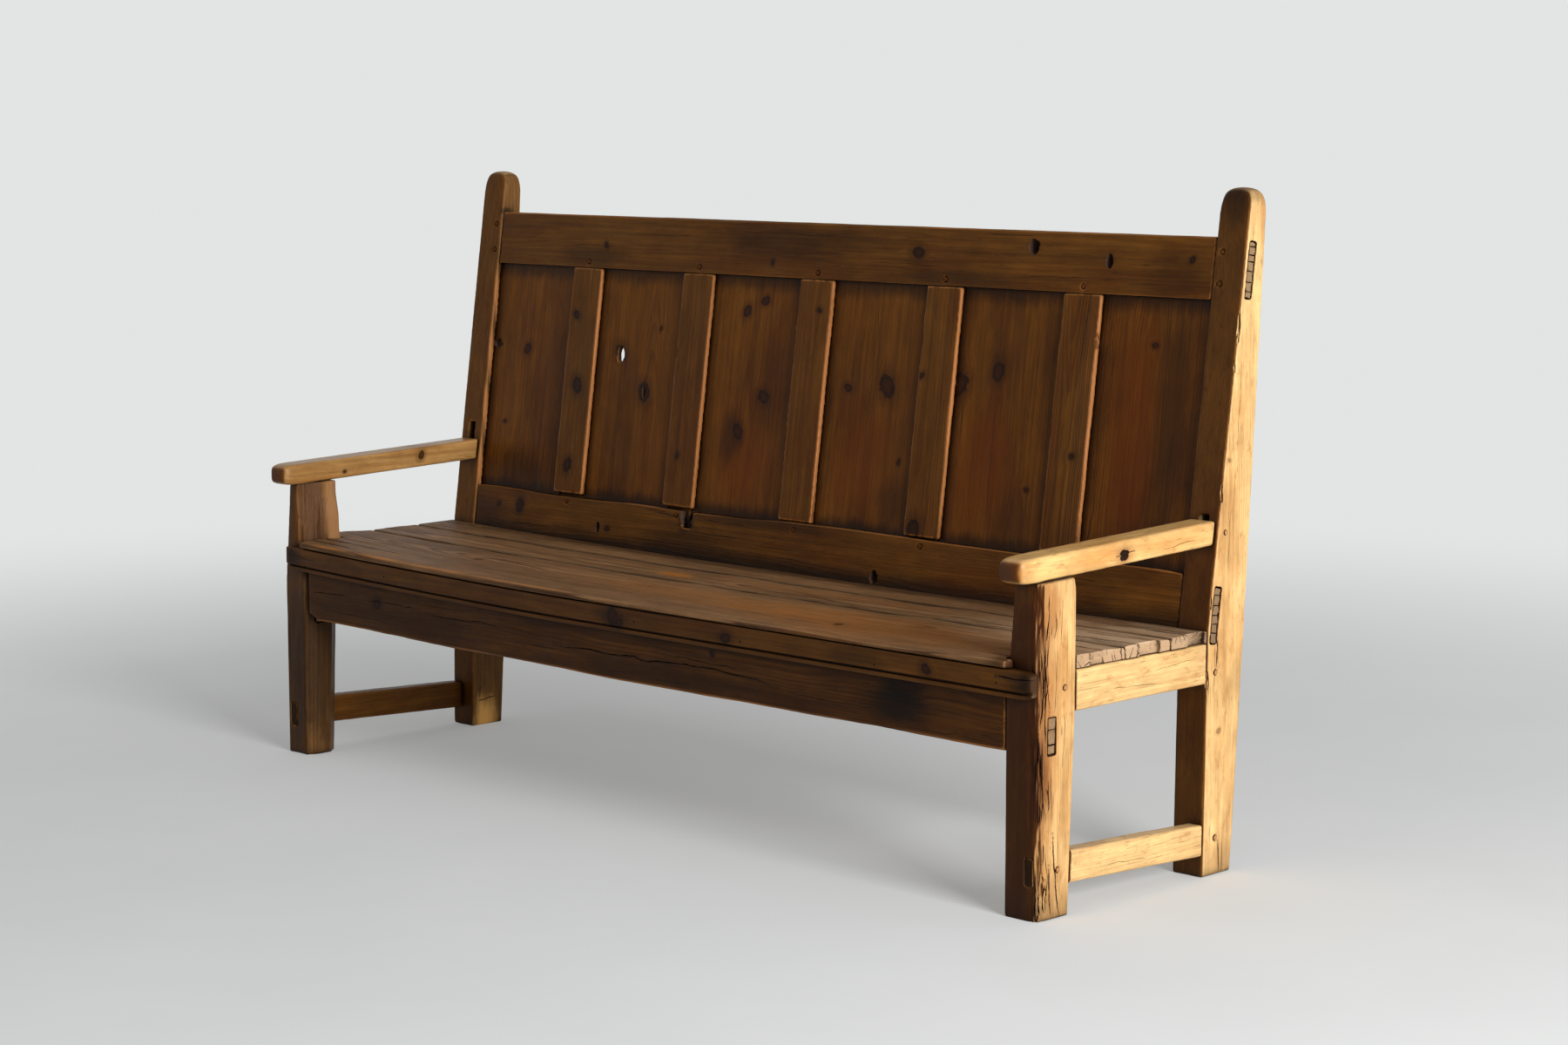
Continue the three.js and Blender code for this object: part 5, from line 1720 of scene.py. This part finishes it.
def worn_end(points):
    """Asks for more rounding at the right end of the fascia."""
    return towards(points[:, 0], FASCIA_END, FASCIA_SOFT_REACH)


def dress_apron():
    dress("front_apron", ALONG_X, TO_FRONT, uneven=1.3, shape=apron_shape,
          knots=knots_at(APRON_KNOTS, on_apron), stains=stains_at(APRON_STAINS, on_apron),
          cracks=[*splits_at(APRON_SPLITS, 610, INTO_FRONT, on_apron, wander=APRON_SPLIT_WANDER),
                  *tenon_splits("front_apron", ALONG_Z, 650)])


def dress_fascia():
    nails = [(place, NAIL_SIZE) for place in FASCIA_NAILS]
    dress("front_fascia", ALONG_X, TO_FRONT, rounds=3, shape=fascia_shape, soft=worn_end,
          knots=knots_at(FASCIA_KNOTS, on_fascia), stains=stains_at(FASCIA_STAINS, on_fascia),
          fresh=stains_at(FASCIA_END_DIRT, on_fascia), breaks=bites_at(FASCIA_BITES, 670, 0.35, on_fascia),
          cracks=[*holes_at(nails, 640, INTO_FRONT, on_fascia),
                  *splits_at(FASCIA_SPLITS, 660, INTO_FRONT, on_fascia, wander=FASCIA_SPLIT_WANDER)])


PEG_WAVES = 0.3 * MM


def dress_pegs():
    for node in sorted(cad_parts):
        if node.startswith("peg_"):
            in_back = "muntin" in node or "top_rail" in node
            # Pegs in the right end's outer faces stay pale; the others get the dark wax and painted shade as
            # well.
            aged_and_shaded = 0.0 if node.endswith("right") and not in_back else 1.0
            dress(node, OUT_OF_BACK if in_back else ALONG_X, ALONG_Z, rounds=4, waves=PEG_WAVES, aged_and_shaded=aged_and_shaded)


# Studio

BACKDROP = colour(226, 228, 227)
WHITE = (1, 1, 1, 1)
FLOOR_DARK = colour(206, 208, 208)
FLOOR_PALE = colour(222, 223, 222)
FLOOR_RADIUS = 60
FLOOR_SIDES = 96
FLOOR_LIFT = 0.26
FADE_NEAR = 1.2
FADE_FAR = 4.5
ROOM_LIGHT = 0.28
LAMP_SIZE = 2.6
LAMP_POWER = 430
LAMP_PLACE = Vector((6.4, -1.5, 2.1))
LAMP_AIM = Vector((0, 0, 0.6))
SENSOR_WIDTH = 36
LENS = 73.898
CAMERA_PLACE = (4.185667, -4.077263, 1.281453)
CAMERA_TILT = 7.362
CAMERA_TURN = 44.684


def make_camera():
    data = bpy.data.cameras.new("photo_view")
    data.sensor_width = SENSOR_WIDTH
    data.lens = LENS
    camera = bpy.data.objects.new("photo_view", data)
    camera.location = CAMERA_PLACE
    camera.rotation_euler = (math.radians(90 - CAMERA_TILT), 0, math.radians(CAMERA_TURN))
    bpy.context.scene.collection.objects.link(camera)
    bpy.context.scene.camera = camera


def make_light():
    """A wide window at the right and a dim room, which the camera sees as the backdrop."""
    key = bpy.data.lights.new("window", "AREA")
    key.shape = "SQUARE"
    key.size = LAMP_SIZE
    key.energy = LAMP_POWER
    lamp = bpy.data.objects.new("window", key)
    lamp.location = LAMP_PLACE
    lamp.rotation_euler = (LAMP_AIM - LAMP_PLACE).to_track_quat("-Z", "Y").to_euler()
    bpy.context.scene.collection.objects.link(lamp)
    world = bpy.data.worlds.new("room")
    bpy.context.scene.world = world
    world.use_nodes = True
    nodes = Nodes(world.node_tree)
    room = nodes.tree.nodes["Background"]
    nodes.feed(room.inputs["Color"], WHITE)
    nodes.feed(room.inputs["Strength"], ROOM_LIGHT)
    backdrop = nodes.node("Background", {"Color": BACKDROP})
    seen = nodes.node("MixShader", {0: nodes.background_rays(), 1: room.outputs[0], 2: backdrop})
    nodes.feed(nodes.tree.nodes["World Output"].inputs["Surface"], seen)


def make_floor():
    """A pale floor that takes the bench's shadow and, to the camera, fades into the backdrop."""
    shape = bmesh.new()
    bmesh.ops.create_circle(shape, cap_ends=True, radius=FLOOR_RADIUS, segments=FLOOR_SIDES)
    floor = new_object("floor", shape)
    shader = Shader("pale_floor")
    cloud = shader.noise(shader.place, 1.4, 4, 0.6)
    tint = shader.mix(cloud, FLOOR_DARK, FLOOR_PALE)
    shader.give({"Base Color": tint, "Roughness": 0.55, "Specular IOR Level": 0})
    plain = shader.surface.outputs[0]
    lift = shader.node("Emission", {"Color": BACKDROP, "Strength": FLOOR_LIFT})
    near = shader.node("AddShader", {0: plain, 1: lift})
    far = shader.node("Emission", {"Color": BACKDROP, "Strength": 1.0})
    away = shader.ramp(shader.vector("LENGTH", shader.place), FADE_NEAR, FADE_FAR)
    faded = shader.node("MixShader", {0: away, 1: near, 2: far})
    seen = shader.node("MixShader", {0: shader.background_rays(), 1: plain, 2: faded})
    shader.feed(shader.tree.nodes["Material Output"].inputs["Surface"], seen)
    floor.data.materials.append(shader.material)


make_camera()
make_light()
make_floor()
dress_rails()
dress_muntins()
dress_panels()
dress_rear_posts()
dress_front_posts()
dress_arms()
dress_end_bars()
dress_boards()
dress_apron()
dress_fascia()
dress_pegs()
bpy.context.scene.view_settings.view_transform = "Standard"
